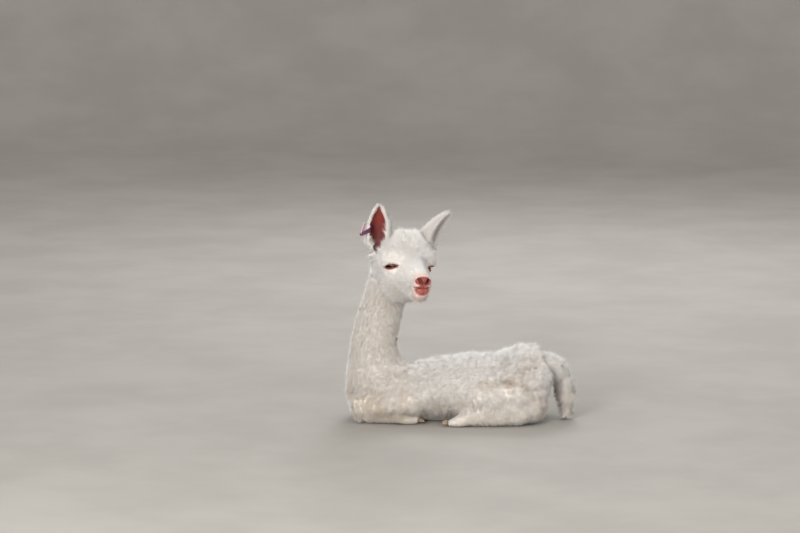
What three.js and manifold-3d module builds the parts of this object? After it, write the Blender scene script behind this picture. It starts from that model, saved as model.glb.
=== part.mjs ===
// A young alpaca lying down with its legs folded under it and its head turned back to its left.
// Millimetres, +Z up. The animal faces -X, its left side is -Y, and it rests on z = 0.
// Every solid is the animal's outline out to the tips of its coat.
import * as THREE from 'three';
import { SimplifyModifier } from 'three/addons/modifiers/SimplifyModifier.js';
import { mergeVertices } from 'three/addons/utils/BufferGeometryUtils.js';
import Module from 'manifold-3d';

const wasm = await Module();
wasm.setup();

// ---------------------------------------------------------------- driving dimensions (mm)
const GAP = 0.3;                 // clearance between neighbouring pieces
const CUT = 0.9;                 // width of a cut through the body
// Grid cell that an outline is wrapped with, and the facets that are kept of the result.
const BODY_GRID = { cell: 13, facets: 3000 };
const LEG_GRID = { cell: 11, facets: 3600 };
const HEAD_GRID = { cell: 6.4, facets: 1150 };
const FOOT_GRID = { cell: 4.5, facets: 170 };
const TAIL_GRID = { cell: 8, facets: 260 };

const HEAD_SCALE = 10.5;         // one unit of the head's own frame
const BROW_POINT = [-117.5, -65, 359];   // the point midway between the eyes
const HEAD_YAW = 65;             // degrees from +X towards -Y that the face looks
const HEAD_LIFT = 6;             // degrees that the palate rises towards the nose
const HEAD_ROLL = 5;             // degrees that the right side is raised

const EYE_RADIUS = 16.5;
const EYE_PLACE = [-0.2, 3.45, 0.15];    // in the head's frame
const EYE_TURN = 55;             // degrees that an eye looks out from straight ahead
const EYE_OPENING = { long: 34, high: 15 };
const LID_DEPTH = 2.4;           // thickness of the lids over the eyeball
const EAR_LENGTH = 120;
const EAR_ROOT_SINK = 14;        // how far an ear starts below the fleece of the crown

// The trunk, front to back: [x, height of the middle, half height, half width].
const TRUNK = [
  [-190, 63, 63, 66],
  [-125, 63, 64, 80],
  [-50, 72, 72, 89],
  [30, 77, 78, 93],
  [95, 79, 76, 91],
  [145, 93, 81, 86],
  [176, 92, 76, 76],
];
const RUMP_ROUNDING = 32;        // how far the rump bulges behind the last section
// The neck, bottom to top: [x, y, z, half depth, half width].
const NECK = [
  [-176, 0, 50, 76, 64],
  [-191, 0, 92, 70, 61],
  [-195, -1, 132, 64, 56],
  [-197, -2, 170, 56, 50],
  [-193, -3, 207, 53, 47],
  [-178, -5, 262, 50, 45],
  [-164, -7, 310, 50, 46],
  [-155, -5, 340, 50, 47],
];
// The tail, root to tip: [x, y, z, half depth, half width].
const TAIL = [
  [188, 0, 118, 27, 30],
  [214, 0, 117, 25, 28],
  [231, 0, 101, 24, 26],
  [239, 0, 74, 24, 25],
  [241, 0, 42, 23, 24],
  [239, 0, 18, 20, 22],
];
// Limbs of the left side, as [x, distance from the mid-plane, z, radius] from joint to joint.
const THIGH = [[168, 42, 112, 44], [132, 66, 88, 38], [112, 72, 68, 34]];
const BUTTOCK = [[163, 56, 96, 36], [164, 60, 40, 37]];
const SHANK = [[44, 83, 62, 29], [131, 80, 62, 28]];
const HIND_CANNON = [[131, 82, 29, 27], [72, 86, 25, 23], [16, 88, 21, 20]];
const SHOULDER = [[-134, 50, 92, 36], [-172, 52, 76, 36], [-150, 58, 60, 34]];
const FOREARM = [[-112, 74, 50, 28], [-170, 64, 44, 26], [-226, 48, 40, 27]];
const FORE_CANNON = [[-228, 46, 24, 22], [-180, 52, 20, 19], [-140, 60, 18, 17]];

// The fold where the flank meets the thigh.
const FLANK_FOLD = [[182, 78, 140, 5], [140, 106, 112, 9], [96, 116, 93, 6]];

// Feet of the left side: [x, distance from the mid-plane, direction of the toes in degrees].
const HIND_FOOT = [0, 89, 176];
const FORE_FOOT = [-126, 61, 8];
const FOOT_MIDDLE = [5, 0, 12];
const FOOT_ROOM = 1.09;          // the body keeps clear of a foot this much larger
const TOE_SPREAD = 8.5;
const TOE_TIP = 27;
const NAIL = { length: 13, radius: 4.2, dip: 14, height: 10.5, steps: 3, sides: 7 };

// An ear from root to tip: [place, radius, half angle, thickness]. Each section is a crescent.
const EAR_SECTIONS = [
  [0, 17, 160, 8], [0.13, 20, 146, 8], [0.28, 25, 120, 8], [0.43, 27, 104, 7.5],
  [0.58, 26, 96, 7], [0.72, 23, 92, 6.5], [0.84, 18.5, 90, 6], [0.93, 14, 90, 5],
  [1, 8.5, 88, 3.2],
];
const EAR_TIP_CURL = 7;          // the tips lean this far towards the opening
const EAR_AROUND = 8;            // points along each arc of a section

// The ear tag is pinned through the outer wall of the right ear and wraps its edge, with a
// loose leaf behind. Places are in the ear's own frame.
const TAG = {
  turn: 55,                      // degrees round from the ear's back to its outer edge
  height: 63,                    // above the root of the ear
  axis: 7.2,                     // how far the ear's axis leans towards its opening there
  inner: 18.0,                   // distance of the ear's inner skin from its axis there
  outer: 26.2,                   // and of its outer side
  pin: 1.6,
  button: { radius: 6.3, thick: 3 },
  stud: { radius: 4.5, thick: 2 },
  strip: { wide: 8, thick: 2.2 },
  corner: [16.5, -21, 60],       // where the strip turns over the edge of the ear
  hinge: [12, -37, 50],
  leaf: { tip: [1, -31, 70], wide: 9, thick: 1.4 },
};

// Cuts through the body.
const TAIL_ROOT = { point: [199, 0, 120], normal: [0.96, 0, 0.28], block: 84 };
const NECK_BASE = { point: [-190, 0, 112], normal: [-0.375, 0, 0.927] };
const THROAT_LATCH = { place: [-6, 0, -2], forward: 0.894, up: 0.447, block: 320 };
const LEG_REACH = 190;           // the blocks that part the legs end this far off the mid-plane
const FLESH_SHARE = 0.68;        // of a cut piece's facets that are kept

// The boxes that the outlines are wrapped in; the head's is in units of its own frame.
const BODY_LO = [-300, -200, -40];
const BODY_HI = [260, 160, 480];
const LIMB_HI = [260, 160, 220];
const TAIL_LO = [150, -55, -33];
const TAIL_HI = [290, 55, 170];
const FOOT_LO = [-48, -42, -24];
const FOOT_HI = [54, 42, 54];
const HEAD_LO = [-10.4, -7.4, -10.4];
const HEAD_HI = [10.6, 7.4, 9.6];

const COATS = {
  fleece: { color: 0xe2dfda, roughness: 0.95 },
  ear: { color: 0xdcc9c0, roughness: 0.9 },
  eye: { color: 0x241a18, roughness: 0.08 },
  nail: { color: 0x8d7a63, roughness: 0.5 },
  tag: { color: 0x7a2f63, roughness: 0.4 },
  tagPale: { color: 0xd9b8cc, roughness: 0.4 },
};

// ---------------------------------------------------------------- small maths
const clamp = (x, lo, hi) => Math.min(hi, Math.max(lo, x));
const degrees = THREE.MathUtils.degToRad;

// Blends two distances so that the surfaces meet in a fillet of about size k.
function blend(a, b, k) {
  const h = clamp(0.5 + (0.5 * (b - a)) / k, 0, 1);
  return b + (a - b) * h - k * h * (1 - h);
}

// Cuts the second distance out of the first with a rounded edge of about size k.
const carve = (a, b, k) => -blend(-a, b, k);

function ellipsoid(x, y, z, centre, radii) {
  const u = (x - centre[0]) / radii[0];
  const v = (y - centre[1]) / radii[1];
  const w = (z - centre[2]) / radii[2];
  return (Math.hypot(u, v, w) - 1) * Math.min(...radii);
}

// A chain of round cones through [x, y, z, radius] points.
function limb(x, y, z, points) {
  let best = Infinity;
  for (let i = 0; i + 1 < points.length; i += 1) {
    const [ax, ay, az, ar] = points[i];
    const [bx, by, bz, br] = points[i + 1];
    const d = [bx - ax, by - ay, bz - az];
    const along = (x - ax) * d[0] + (y - ay) * d[1] + (z - az) * d[2];
    const t = clamp(along / (d[0] ** 2 + d[1] ** 2 + d[2] ** 2), 0, 1);
    const gap = Math.hypot(x - ax - t * d[0], y - ay - t * d[1], z - az - t * d[2]);
    best = Math.min(best, gap - ar - t * (br - ar));
  }
  return best;
}

// A body swept along a smooth curve with oval sections: rows are [x, y, z, depth, width],
// where width lies along Y and depth across both Y and the curve.
function sweep(rows, steps = 26, endCap = 0) {
  const curve = new THREE.CatmullRomCurve3(rows.map(([x, y, z]) => new THREE.Vector3(x, y, z)));
  const sizes = new THREE.CatmullRomCurve3(rows.map(([, , , d, w]) => new THREE.Vector3(d, w, 0)));
  const samples = [];
  for (let i = 0; i <= steps; i += 1) {
    const point = curve.getPoint(i / steps);
    const size = sizes.getPoint(i / steps);
    samples.push([point.x, point.y, point.z, size.x, size.y]);
  }
  return (x, y, z) => {
    let best = Infinity;
    for (let i = 0; i < steps; i += 1) {
      const a = samples[i];
      const b = samples[i + 1];
      const d = [b[0] - a[0], b[1] - a[1], b[2] - a[2]];
      const length = Math.hypot(...d);
      const tangent = d.map((v) => v / length);
      const p = [x - a[0], y - a[1], z - a[2]];
      const reach = p[0] * tangent[0] + p[1] * tangent[1] + p[2] * tangent[2];
      const t = clamp(reach / length, 0, 1);
      const past = reach - t * length;
      const off = p.map((v, axis) => v - reach * tangent[axis]);
      const depth = a[3] + t * (b[3] - a[3]);
      const width = a[4] + t * (b[4] - a[4]);
      const across = Math.sqrt(Math.max(0, off[0] ** 2 + off[2] ** 2));
      const small = Math.min(depth, width);
      const cap = endCap > 0 && past > 0 ? endCap : small;
      const value = (Math.hypot(across / depth, off[1] / width, past / cap) - 1) * small;
      best = Math.min(best, value);
    }
    return best;
  };
}

// ---------------------------------------------------------------- the head's own frame
// a runs forward to the nose, r to the animal's right, u up; the origin is the brow point.
function headFrame() {
  const yaw = degrees(HEAD_YAW);
  const lift = degrees(HEAD_LIFT);
  const forward = new THREE.Vector3(
    Math.cos(yaw) * Math.cos(lift), -Math.sin(yaw) * Math.cos(lift), Math.sin(lift));
  const level = new THREE.Vector3(-Math.sin(yaw), -Math.cos(yaw), 0);
  const rise = new THREE.Vector3().crossVectors(level, forward);
  const roll = degrees(HEAD_ROLL);
  const right = level.clone().multiplyScalar(Math.cos(roll)).addScaledVector(rise, Math.sin(roll));
  const up = rise.clone().multiplyScalar(Math.cos(roll)).addScaledVector(level, -Math.sin(roll));
  return { forward, right, up, origin: new THREE.Vector3(...BROW_POINT) };
}
const HEAD = headFrame();

function headPoint(a, r, u) {
  return HEAD.origin.clone()
    .addScaledVector(HEAD.forward, a * HEAD_SCALE)
    .addScaledVector(HEAD.right, r * HEAD_SCALE)
    .addScaledVector(HEAD.up, u * HEAD_SCALE);
}

function toHead(x, y, z) {
  const d = [x - HEAD.origin.x, y - HEAD.origin.y, z - HEAD.origin.z];
  const along = (axis) => (d[0] * axis.x + d[1] * axis.y + d[2] * axis.z) / HEAD_SCALE;
  return [along(HEAD.forward), along(HEAD.right), along(HEAD.up)];
}

// ---------------------------------------------------------------- outline of the coat
const snoutOutline = sweep([
  [0.2, 0, -1.2, 4.7, 4.2],
  [2.4, 0, -1.9, 4.5, 3.45],
  [4.6, 0, -2.7, 3.85, 2.7],
  [6.6, 0, -3.2, 2.9, 2.25],
], 10);

function headOutline(x, y, z) {
  const [a, r, u] = toHead(x, y, z);
  const side = Math.abs(r);
  let d = ellipsoid(a, r, u, [-2.9, 0, 1.2], [5.0, 4.9, 5.9]);             // skull
  d = blend(d, ellipsoid(a, side, u, [-2.6, 1.4, 4.8], [3.9, 3.6, 3.3]), 1.2);   // topknot
  d = blend(d, ellipsoid(a, side, u, [-0.4, 3.8, 2.6], [2.8, 2.8, 2.0]), 2.0);   // brow fleece
  d = blend(d, ellipsoid(a, side, u, [-4.4, 5.2, 1.8], [2.2, 1.7, 2.6]), 1.0);   // below the ear
  d = blend(d, ellipsoid(a, r, u, [-1.9, 0, -2.7], [4.9, 4.7, 4.75]), 1.4);      // cheeks and jaw
  d = blend(d, snoutOutline(a, r, u), 1.1);
  d = blend(d, ellipsoid(a, r, u, [7.3, 0, -2.8], [2.1, 2.05, 1.8]), 0.7);       // nose and lip
  d = blend(d, ellipsoid(a, r, u, [6.5, 0, -5.3], [1.9, 1.8, 1.65]), 0.6);       // chin
  d = carve(d, ellipsoid(a, side, u, [1.8, 5.0, 0.3], [1.9, 1.0, 1.2]), 0.8);    // eye hollow
  const lids = Math.hypot(a - EYE_PLACE[0], side - EYE_PLACE[1], u - EYE_PLACE[2])
    - (EYE_RADIUS + LID_DEPTH) / HEAD_SCALE;
  return blend(d, lids, 0.35) * HEAD_SCALE;
}

const neckOutline = sweep(NECK);
const trunkOutline = sweep(
  TRUNK.map(([x, z, high, wide]) => [x, 0, z, high, wide]), 26, RUMP_ROUNDING);
const tailOutline = sweep(TAIL);

function bodyOutline(x, y, z) {
  const side = Math.abs(y);
  let d = blend(trunkOutline(x, y, z), neckOutline(x, y, z), 26);
  d = blend(d, limb(x, side, z, SHOULDER), 18);
  d = blend(d, limb(x, side, z, THIGH), 18);
  d = blend(d, limb(x, side, z, BUTTOCK), 16);
  d = carve(d, limb(x, side, z, FLANK_FOLD), 12);
  d = blend(d, limb(x, side, z, SHANK), 7);
  d = blend(d, limb(x, side, z, HIND_CANNON), 6);
  d = blend(d, limb(x, side, z, FOREARM), 9);
  return blend(d, limb(x, side, z, FORE_CANNON), 6);
}

const animalOutline = (x, y, z) => blend(bodyOutline(x, y, z), headOutline(x, y, z), 16);

// ---------------------------------------------------------------- wrapping an outline in facets
// Wraps the region where outline(x, y, z) is below zero in one closed mesh of facets. The grid
// is cell wide and runs along the axes of frame, a Matrix4, from lo to hi.
function wrap(outline, lo, hi, cell, frame = new THREE.Matrix4()) {
  const count = lo.map((v, axis) => Math.ceil((hi[axis] - v) / cell) + 1);
  const index = (i, j, k) => i + count[0] * (j + count[1] * k);
  const values = new Float64Array(count[0] * count[1] * count[2]);
  const point = new THREE.Vector3();
  for (let k = 0; k < count[2]; k += 1) {
    for (let j = 0; j < count[1]; j += 1) {
      for (let i = 0; i < count[0]; i += 1) {
        const rim = [i, j, k].some((v, axis) => v === 0 || v === count[axis] - 1);
        point.set(lo[0] + i * cell, lo[1] + j * cell, lo[2] + k * cell).applyMatrix4(frame);
        const value = outline(point.x, point.y, point.z);
        values[index(i, j, k)] = rim ? Math.max(value, cell / 4) : value;
      }
    }
  }

  // Where two inside corners face each other across a grid face, fill a third between them, so
  // that no edge of the mesh is shared by more than two facets.
  const stride = [1, count[0], count[0] * count[1]];
  let settled = false;
  while (!settled) {
    settled = true;
    for (let k = 1; k + 2 < count[2]; k += 1) {
      for (let j = 1; j + 2 < count[1]; j += 1) {
        for (let i = 1; i + 2 < count[0]; i += 1) {
          for (let axis = 0; axis < 3; axis += 1) {
            const here = index(i, j, k);
            const u = stride[axis];
            const v = stride[(axis + 1) % 3];
            const face = [here, here + u, here + u + v, here + v];
            const [a, b, c, d] = face.map((n) => values[n] < 0);
            if (a !== c || b !== d || a === b) continue;
            const fill = a ? face[1] : face[0];
            values[fill] = -cell / 20;
            settled = false;
          }
        }
      }
    }
  }

  // One vertex for each cell that the surface crosses, at the mean of its edge crossings.
  const vertexOf = new Map();
  const positions = [];
  const corner = (n) => [n & 1, (n >> 1) & 1, n >> 2];
  for (let k = 0; k + 1 < count[2]; k += 1) {
    for (let j = 0; j + 1 < count[1]; j += 1) {
      for (let i = 0; i + 1 < count[0]; i += 1) {
        const sum = [0, 0, 0];
        let crossings = 0;
        for (let n = 0; n < 8; n += 1) {
          for (let axis = 0; axis < 3; axis += 1) {
            const m = n | (1 << axis);
            if (m === n) continue;
            const p = corner(n);
            const q = corner(m);
            const a = values[index(i + p[0], j + p[1], k + p[2])];
            const b = values[index(i + q[0], j + q[1], k + q[2])];
            if (a < 0 === b < 0) continue;
            const t = a / (a - b);
            for (let c = 0; c < 3; c += 1) sum[c] += p[c] + t * (q[c] - p[c]);
            crossings += 1;
          }
        }
        if (crossings === 0) continue;
        vertexOf.set(index(i, j, k), positions.length / 3);
        point.set(
          lo[0] + (i + sum[0] / crossings) * cell,
          lo[1] + (j + sum[1] / crossings) * cell,
          lo[2] + (k + sum[2] / crossings) * cell).applyMatrix4(frame);
        positions.push(point.x, point.y, point.z);
      }
    }
  }

  // Two triangles round each grid edge that the surface crosses.
  const triangles = [];
  const mirrored = frame.determinant() < 0;
  for (let k = 0; k + 1 < count[2]; k += 1) {
    for (let j = 0; j + 1 < count[1]; j += 1) {
      for (let i = 0; i + 1 < count[0]; i += 1) {
        const here = index(i, j, k);
        for (let axis = 0; axis < 3; axis += 1) {
          const inside = values[here] < 0;
          if (inside === values[here + stride[axis]] < 0) continue;
          const u = stride[(axis + 1) % 3];
          const v = stride[(axis + 2) % 3];
          const ring = [here, here - u, here - u - v, here - v].map((n) => vertexOf.get(n));
          if (inside === mirrored) ring.reverse();
          triangles.push(ring[0], ring[1], ring[2], ring[0], ring[2], ring[3]);
        }
      }
    }
  }
  const geometry = new THREE.BufferGeometry();
  geometry.setAttribute('position', new THREE.Float32BufferAttribute(positions, 3));
  geometry.setIndex(triangles);
  return geometry;
}

// The same surface in fewer facets, larger where it is flatter.
async function lighten(geometry, facets) {
  const spare = 1 - facets / (geometry.index.count / 3);
  const drop = Math.max(0, Math.floor(spare * geometry.attributes.position.count));
  return new SimplifyModifier().modify(geometry, drop);
}

const wrapLightly = (outline, lo, hi, grid, frame) => lighten(
  wrap(outline, lo, hi, grid.cell, frame), grid.facets);

// ---------------------------------------------------------------- solids and back
function solid(geometry) {
  const bare = geometry.clone();
  for (const name of Object.keys(bare.attributes)) {
    if (name !== 'position') bare.deleteAttribute(name);
  }
  const merged = mergeVertices(bare, 1e-4);
  const mesh = new wasm.Mesh({
    numProp: 3,
    vertProperties: new Float32Array(merged.attributes.position.array),
    triVerts: new Uint32Array(merged.index.array),
  });
  return new wasm.Manifold(mesh);
}

function geometryOf(manifold) {
  const parts = manifold.decompose().sort((a, b) => b.volume() - a.volume());
  const mesh = parts[0].getMesh();
  const geometry = new THREE.BufferGeometry();
  geometry.setAttribute('position', new THREE.Float32BufferAttribute(mesh.vertProperties, 3));
  geometry.setIndex([...mesh.triVerts]);
  return geometry;
}

// A block whose one face passes through point, on the side that normal points to.
function halfSpace(point, normal, size = 1600) {
  const block = new THREE.BoxGeometry(size, size, size).translate(0, 0, size / 2);
  const turn = new THREE.Quaternion().setFromUnitVectors(
    new THREE.Vector3(0, 0, 1), normal.clone().normalize());
  block.applyQuaternion(turn).translate(point.x, point.y, point.z);
  return solid(block);
}

// A closed outline in the XZ plane, with round ends of radius r, from (x0, z0) to (x1, z1).
function stadium(x0, z0, x1, z1, r) {
  const turn = Math.atan2(z1 - z0, x1 - x0);
  const shape = new THREE.Shape();
  shape.absarc(x0, z0, r, turn + Math.PI / 2, turn + (3 * Math.PI) / 2, false);
  shape.absarc(x1, z1, r, turn - Math.PI / 2, turn + Math.PI / 2, false);
  return shape;
}

function oval(x, z, rx, rz, turn) {
  const shape = new THREE.Shape();
  shape.absellipse(x, z, rx, rz, 0, 2 * Math.PI, false, degrees(turn));
  return shape;
}

// The outline pushed sideways, from near to far off the mid-plane on one side.
function sideways(shape, side, near, far) {
  const block = new THREE.ExtrudeGeometry(shape, {
    depth: far - near, bevelEnabled: false, curveSegments: 6,
  });
  block.rotateX(Math.PI / 2);
  block.translate(0, side < 0 ? -near : far, 0);
  return solid(block);
}

// ---------------------------------------------------------------- the coated body, whole
const group = new THREE.Group();

function addMesh(name, geometry, coat) {
  const material = new THREE.MeshStandardMaterial({ ...COATS[coat], metalness: 0 });
  const mesh = new THREE.Mesh(geometry, material);
  mesh.name = name;
  group.add(mesh);
  return mesh;
}

// Adds a cut piece of the body, with the short facets that the cuts left merged away.
async function addFlesh(name, manifold) {
  const cut = geometryOf(manifold);
  addMesh(name, await lighten(cut, FLESH_SHARE * (cut.index.count / 3)), 'fleece');
}

const floor = halfSpace(new THREE.Vector3(0, 0, 0), new THREE.Vector3(0, 0, -1));

// The throat latch parts the head from the neck, and the neck base parts that from the trunk.
const latchPoint = headPoint(...THROAT_LATCH.place);
const latchNormal = HEAD.forward.clone().multiplyScalar(THROAT_LATCH.forward)
  .addScaledVector(HEAD.up, THROAT_LATCH.up);
const neckBasePoint = new THREE.Vector3(...NECK_BASE.point);
const neckBaseNormal = new THREE.Vector3(...NECK_BASE.normal);

// The half-space on the far side of a cut, set back by gap. A small block cuts only near it.
function beyond(point, normal, gap, size) {
  return halfSpace(point.clone().addScaledVector(normal, gap), normal, size);
}

let rest = solid(await wrapLightly(animalOutline, BODY_LO, BODY_HI, BODY_GRID)).subtract(floor);
rest = rest.subtract(beyond(latchPoint, latchNormal, 0, THROAT_LATCH.block));
let limbs = solid(await wrapLightly(bodyOutline, BODY_LO, LIMB_HI, LEG_GRID)).subtract(floor);

// ---------------------------------------------------------------- tail
let tail = solid(await wrapLightly(tailOutline, TAIL_LO, TAIL_HI, TAIL_GRID));
const tailRoot = new THREE.Vector3(...TAIL_ROOT.point);
const tailNormal = new THREE.Vector3(...TAIL_ROOT.normal);
tail = tail.subtract(halfSpace(tailRoot, tailNormal.clone().negate())).subtract(floor);
await addFlesh('tail', tail);
rest = rest.subtract(beyond(tailRoot, tailNormal, -CUT, TAIL_ROOT.block));

// ---------------------------------------------------------------- feet and nails
function footOutline(x, y, z) {
  const side = Math.abs(y);
  const pastern = limb(x, y, z, [[-16, 0, 19, 17], [4, 0, 15, 14]]);
  const toe = limb(x, side, z, [[2, TOE_SPREAD - 1.5, 12, 12], [TOE_TIP, TOE_SPREAD, 9.5, 8.6]]);
  return blend(pastern, toe, 5);
}

// A blunt nail: a rounded cone along +X that dips towards its tip.
function nail(extra) {
  const profile = [new THREE.Vector2(0, -extra)];
  for (let i = 0; i < NAIL.steps; i += 1) {
    const angle = (i / NAIL.steps) * (Math.PI / 2);
    const height = i === 0 ? -extra : (NAIL.length + extra) * Math.sin(angle);
    profile.push(new THREE.Vector2((NAIL.radius + extra) * Math.cos(angle) ** 0.8, height));
  }
  profile.push(new THREE.Vector2(0, NAIL.length + extra));
  return new THREE.LatheGeometry(profile, NAIL.sides).rotateZ(-Math.PI / 2)
    .rotateY(degrees(NAIL.dip));
}

// Adds one foot and its two nails, and gives back the room that they take in the body.
async function addFoot(name, [x, off, aim], side) {
  const frame = new THREE.Matrix4().makeRotationZ(degrees(side < 0 ? aim : -aim));
  frame.setPosition(x, side * off, 0);
  const shape = await wrapLightly(footOutline, FOOT_LO, FOOT_HI, FOOT_GRID);
  const [cx, cy, cz] = FOOT_MIDDLE;
  const wider = shape.clone().translate(-cx, -cy, -cz)
    .scale(FOOT_ROOM, FOOT_ROOM, FOOT_ROOM).translate(cx, cy, cz);
  let foot = solid(shape.applyMatrix4(frame)).subtract(floor);
  let room = solid(wider.applyMatrix4(frame));
  for (const toe of [-1, 1]) {
    const seat = new THREE.Matrix4().makeTranslation(
      TOE_TIP + 4, toe * (TOE_SPREAD + 0.5), NAIL.height);
    const claw = (extra) => solid(nail(extra).applyMatrix4(seat).applyMatrix4(frame));
    foot = foot.subtract(claw(GAP));
    room = room.add(claw(2 * GAP));
    const outer = Math.sign(toe * side * Math.cos(degrees(aim))) > 0 ? 'outer' : 'inner';
    addMesh(`nail_${name}_${outer}`, geometryOf(claw(0)), 'nail');
  }
  addMesh(`foot_${name}`, geometryOf(foot), 'fleece');
  return room;
}

// ---------------------------------------------------------------- legs, parted from the trunk
// Each leg is cut from the whole body inside a block: [name, outline, near, far].
function legCells(extra) {
  return [
    ['hindleg_SIDE_lower', stadium(40, 44, 131, 42, 51 + extra), 60],
    ['hindleg_SIDE_thigh', oval(146, 84, 84 + extra, 66 + extra, 38), 45],
    ['foreleg_SIDE_lower', stadium(-226, 24, -118, 32, 44 + extra), 24],
    ['foreleg_SIDE_shoulder', oval(-152, 96, 46 + extra, 58 + extra, -24), 46],
  ];
}

for (const [side, word] of [[-1, 'left'], [1, 'right']]) {
  const hindRoom = await addFoot(`hind_${word}`, HIND_FOOT, side);
  const feet = hindRoom.add(await addFoot(`fore_${word}`, FORE_FOOT, side));
  rest = rest.subtract(feet);
  limbs = limbs.subtract(feet);
  const loose = legCells(CUT);
  for (const [n, [name, shape, near]] of legCells(0).entries()) {
    const piece = limbs.intersect(sideways(shape, side, near, LEG_REACH));
    await addFlesh(name.replace('SIDE', word), piece);
    const room = sideways(loose[n][1], side, near - CUT, LEG_REACH);
    limbs = limbs.subtract(room);
    rest = rest.subtract(room);
  }
}

// ---------------------------------------------------------------- neck and trunk
const neckPiece = rest.intersect(beyond(neckBasePoint, neckBaseNormal, 0));
await addFlesh('neck', neckPiece);
await addFlesh('trunk', rest.subtract(beyond(neckBasePoint, neckBaseNormal, -CUT)));

// ---------------------------------------------------------------- ears
// An ear stands on its own +Z, opens towards its own +X, and is cupped: each section is a
// crescent between two arcs. The solid is extra larger all round.
function earGeometry(extra) {
  const around = EAR_AROUND;
  const positions = [];
  const triangles = [];
  const last = EAR_SECTIONS.length - 1;
  EAR_SECTIONS.forEach(([place, radius, half, thick], row) => {
    const lean = EAR_TIP_CURL * place ** 3 + 0.25 * radius;
    const rise = place * EAR_LENGTH + (row === 0 ? -extra : 0) + (row === last ? extra : 0);
    for (let n = 0; n < 2 * around; n += 1) {
      const outer = n < around;
      const share = outer ? n / (around - 1) : 1 - (n - around) / (around - 1);
      const spread = half + (extra / radius) * (180 / Math.PI);
      const angle = Math.PI + degrees(spread * (2 * share - 1));
      const r = outer ? radius + extra : radius - thick * Math.sin(Math.PI * (0.15 + 0.7 * share))
        - extra;
      positions.push(lean + r * Math.cos(angle), r * Math.sin(angle), rise);
    }
  });
  const ring = 2 * around;
  for (let row = 0; row < last; row += 1) {
    for (let n = 0; n < ring; n += 1) {
      const a = row * ring + n;
      const b = row * ring + ((n + 1) % ring);
      triangles.push(a, b, b + ring, a, b + ring, a + ring);
    }
  }
  for (let n = 0; n + 1 < around; n += 1) {
    const outer = [n, n + 1];
    const inner = [ring - 1 - n, ring - 2 - n];
    triangles.push(outer[0], inner[0], inner[1], outer[0], inner[1], outer[1]);
    const up = last * ring;
    triangles.push(outer[0] + up, inner[1] + up, inner[0] + up);
    triangles.push(outer[0] + up, outer[1] + up, inner[1] + up);
  }
  const geometry = new THREE.BufferGeometry();
  geometry.setAttribute('position', new THREE.Float32BufferAttribute(positions, 3));
  geometry.setIndex(triangles);
  return geometry;
}

// The frame of an ear: its root in the head's frame, the way it points and the way it opens.
function earFrame(root, points, opens) {
  const z = new THREE.Vector3(...points).normalize();
  const x = new THREE.Vector3(...opens);
  x.addScaledVector(z, -x.dot(z)).normalize();
  const y = new THREE.Vector3().crossVectors(z, x);
  const seat = headPoint(...root).addScaledVector(z, -EAR_ROOT_SINK);
  return new THREE.Matrix4().makeBasis(x, y, z).setPosition(seat);
}

const EARS = {
  right: earFrame([-4.4, 5.7, 3.9], [0.05, -0.08, 1], [0.05, -1, 0.05]),
  left: earFrame([-4.4, -4.5, 4.0], [0.55, 0.12, 0.78], [0.66, -0.42, -0.55]),
};

// ---------------------------------------------------------------- head and eyes
const headGrid = new THREE.Matrix4().makeBasis(HEAD.forward, HEAD.right, HEAD.up)
  .setPosition(HEAD.origin);
const headBox = [HEAD_LO, HEAD_HI].map((corner) => corner.map((v) => v * HEAD_SCALE));
let head = solid(await wrapLightly(animalOutline, ...headBox, HEAD_GRID, headGrid));
head = head.intersect(beyond(latchPoint, latchNormal, CUT, THROAT_LATCH.block));

// The almond between the lids, pushed out from the middle of the eyeball.
function lidOpening(centre, side) {
  const { long, high } = EYE_OPENING;
  const radius = (long ** 2 + high ** 2) / (4 * high);
  const spread = Math.asin(long / 2 / radius);
  const shape = new THREE.Shape();
  shape.absarc(0, high / 2 - radius, radius, Math.PI / 2 - spread, Math.PI / 2 + spread, false);
  shape.absarc(0, radius - high / 2, radius, -Math.PI / 2 - spread, -Math.PI / 2 + spread, false);
  const geometry = new THREE.ExtrudeGeometry(shape, {
    depth: 2 * EYE_RADIUS, bevelEnabled: false, curveSegments: 5,
  });
  const turn = degrees(EYE_TURN);
  const out = HEAD.forward.clone().multiplyScalar(Math.cos(turn))
    .addScaledVector(HEAD.right, side * Math.sin(turn));
  const across = new THREE.Vector3().crossVectors(HEAD.up, out);
  geometry.applyMatrix4(new THREE.Matrix4().makeBasis(across, HEAD.up, out).setPosition(centre));
  return solid(geometry);
}

const eyeball = (extra) => new THREE.SphereGeometry(EYE_RADIUS + extra, 14, 9);
for (const [side, word] of [[1, 'right'], [-1, 'left']]) {
  const centre = headPoint(EYE_PLACE[0], side * EYE_PLACE[1], EYE_PLACE[2]);
  head = head.subtract(solid(eyeball(GAP).translate(centre.x, centre.y, centre.z)));
  head = head.subtract(lidOpening(centre, side));
  const eye = addMesh(`eye_${word}`, eyeball(0), 'eye');
  eye.position.copy(centre);
}

for (const word of ['right', 'left']) {
  head = head.subtract(solid(earGeometry(GAP).applyMatrix4(EARS[word])));
}
addMesh('head', geometryOf(head), 'fleece');

// ---------------------------------------------------------------- ear tag in the right ear
const outwards = new THREE.Vector3(-Math.cos(degrees(TAG.turn)), -Math.sin(degrees(TAG.turn)), 0);

const onWall = (distance) => new THREE.Vector3(TAG.axis, 0, TAG.height)
  .addScaledVector(outwards, distance);

// A disc or pin whose axis runs outwards through the wall of the ear.
function peg(from, to, radius, sides = 10) {
  const geometry = new THREE.CylinderGeometry(radius, radius, to - from, sides);
  geometry.applyQuaternion(
    new THREE.Quaternion().setFromUnitVectors(new THREE.Vector3(0, 1, 0), outwards));
  const middle = onWall((from + to) / 2);
  return solid(geometry.translate(middle.x, middle.y, middle.z));
}

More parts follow.
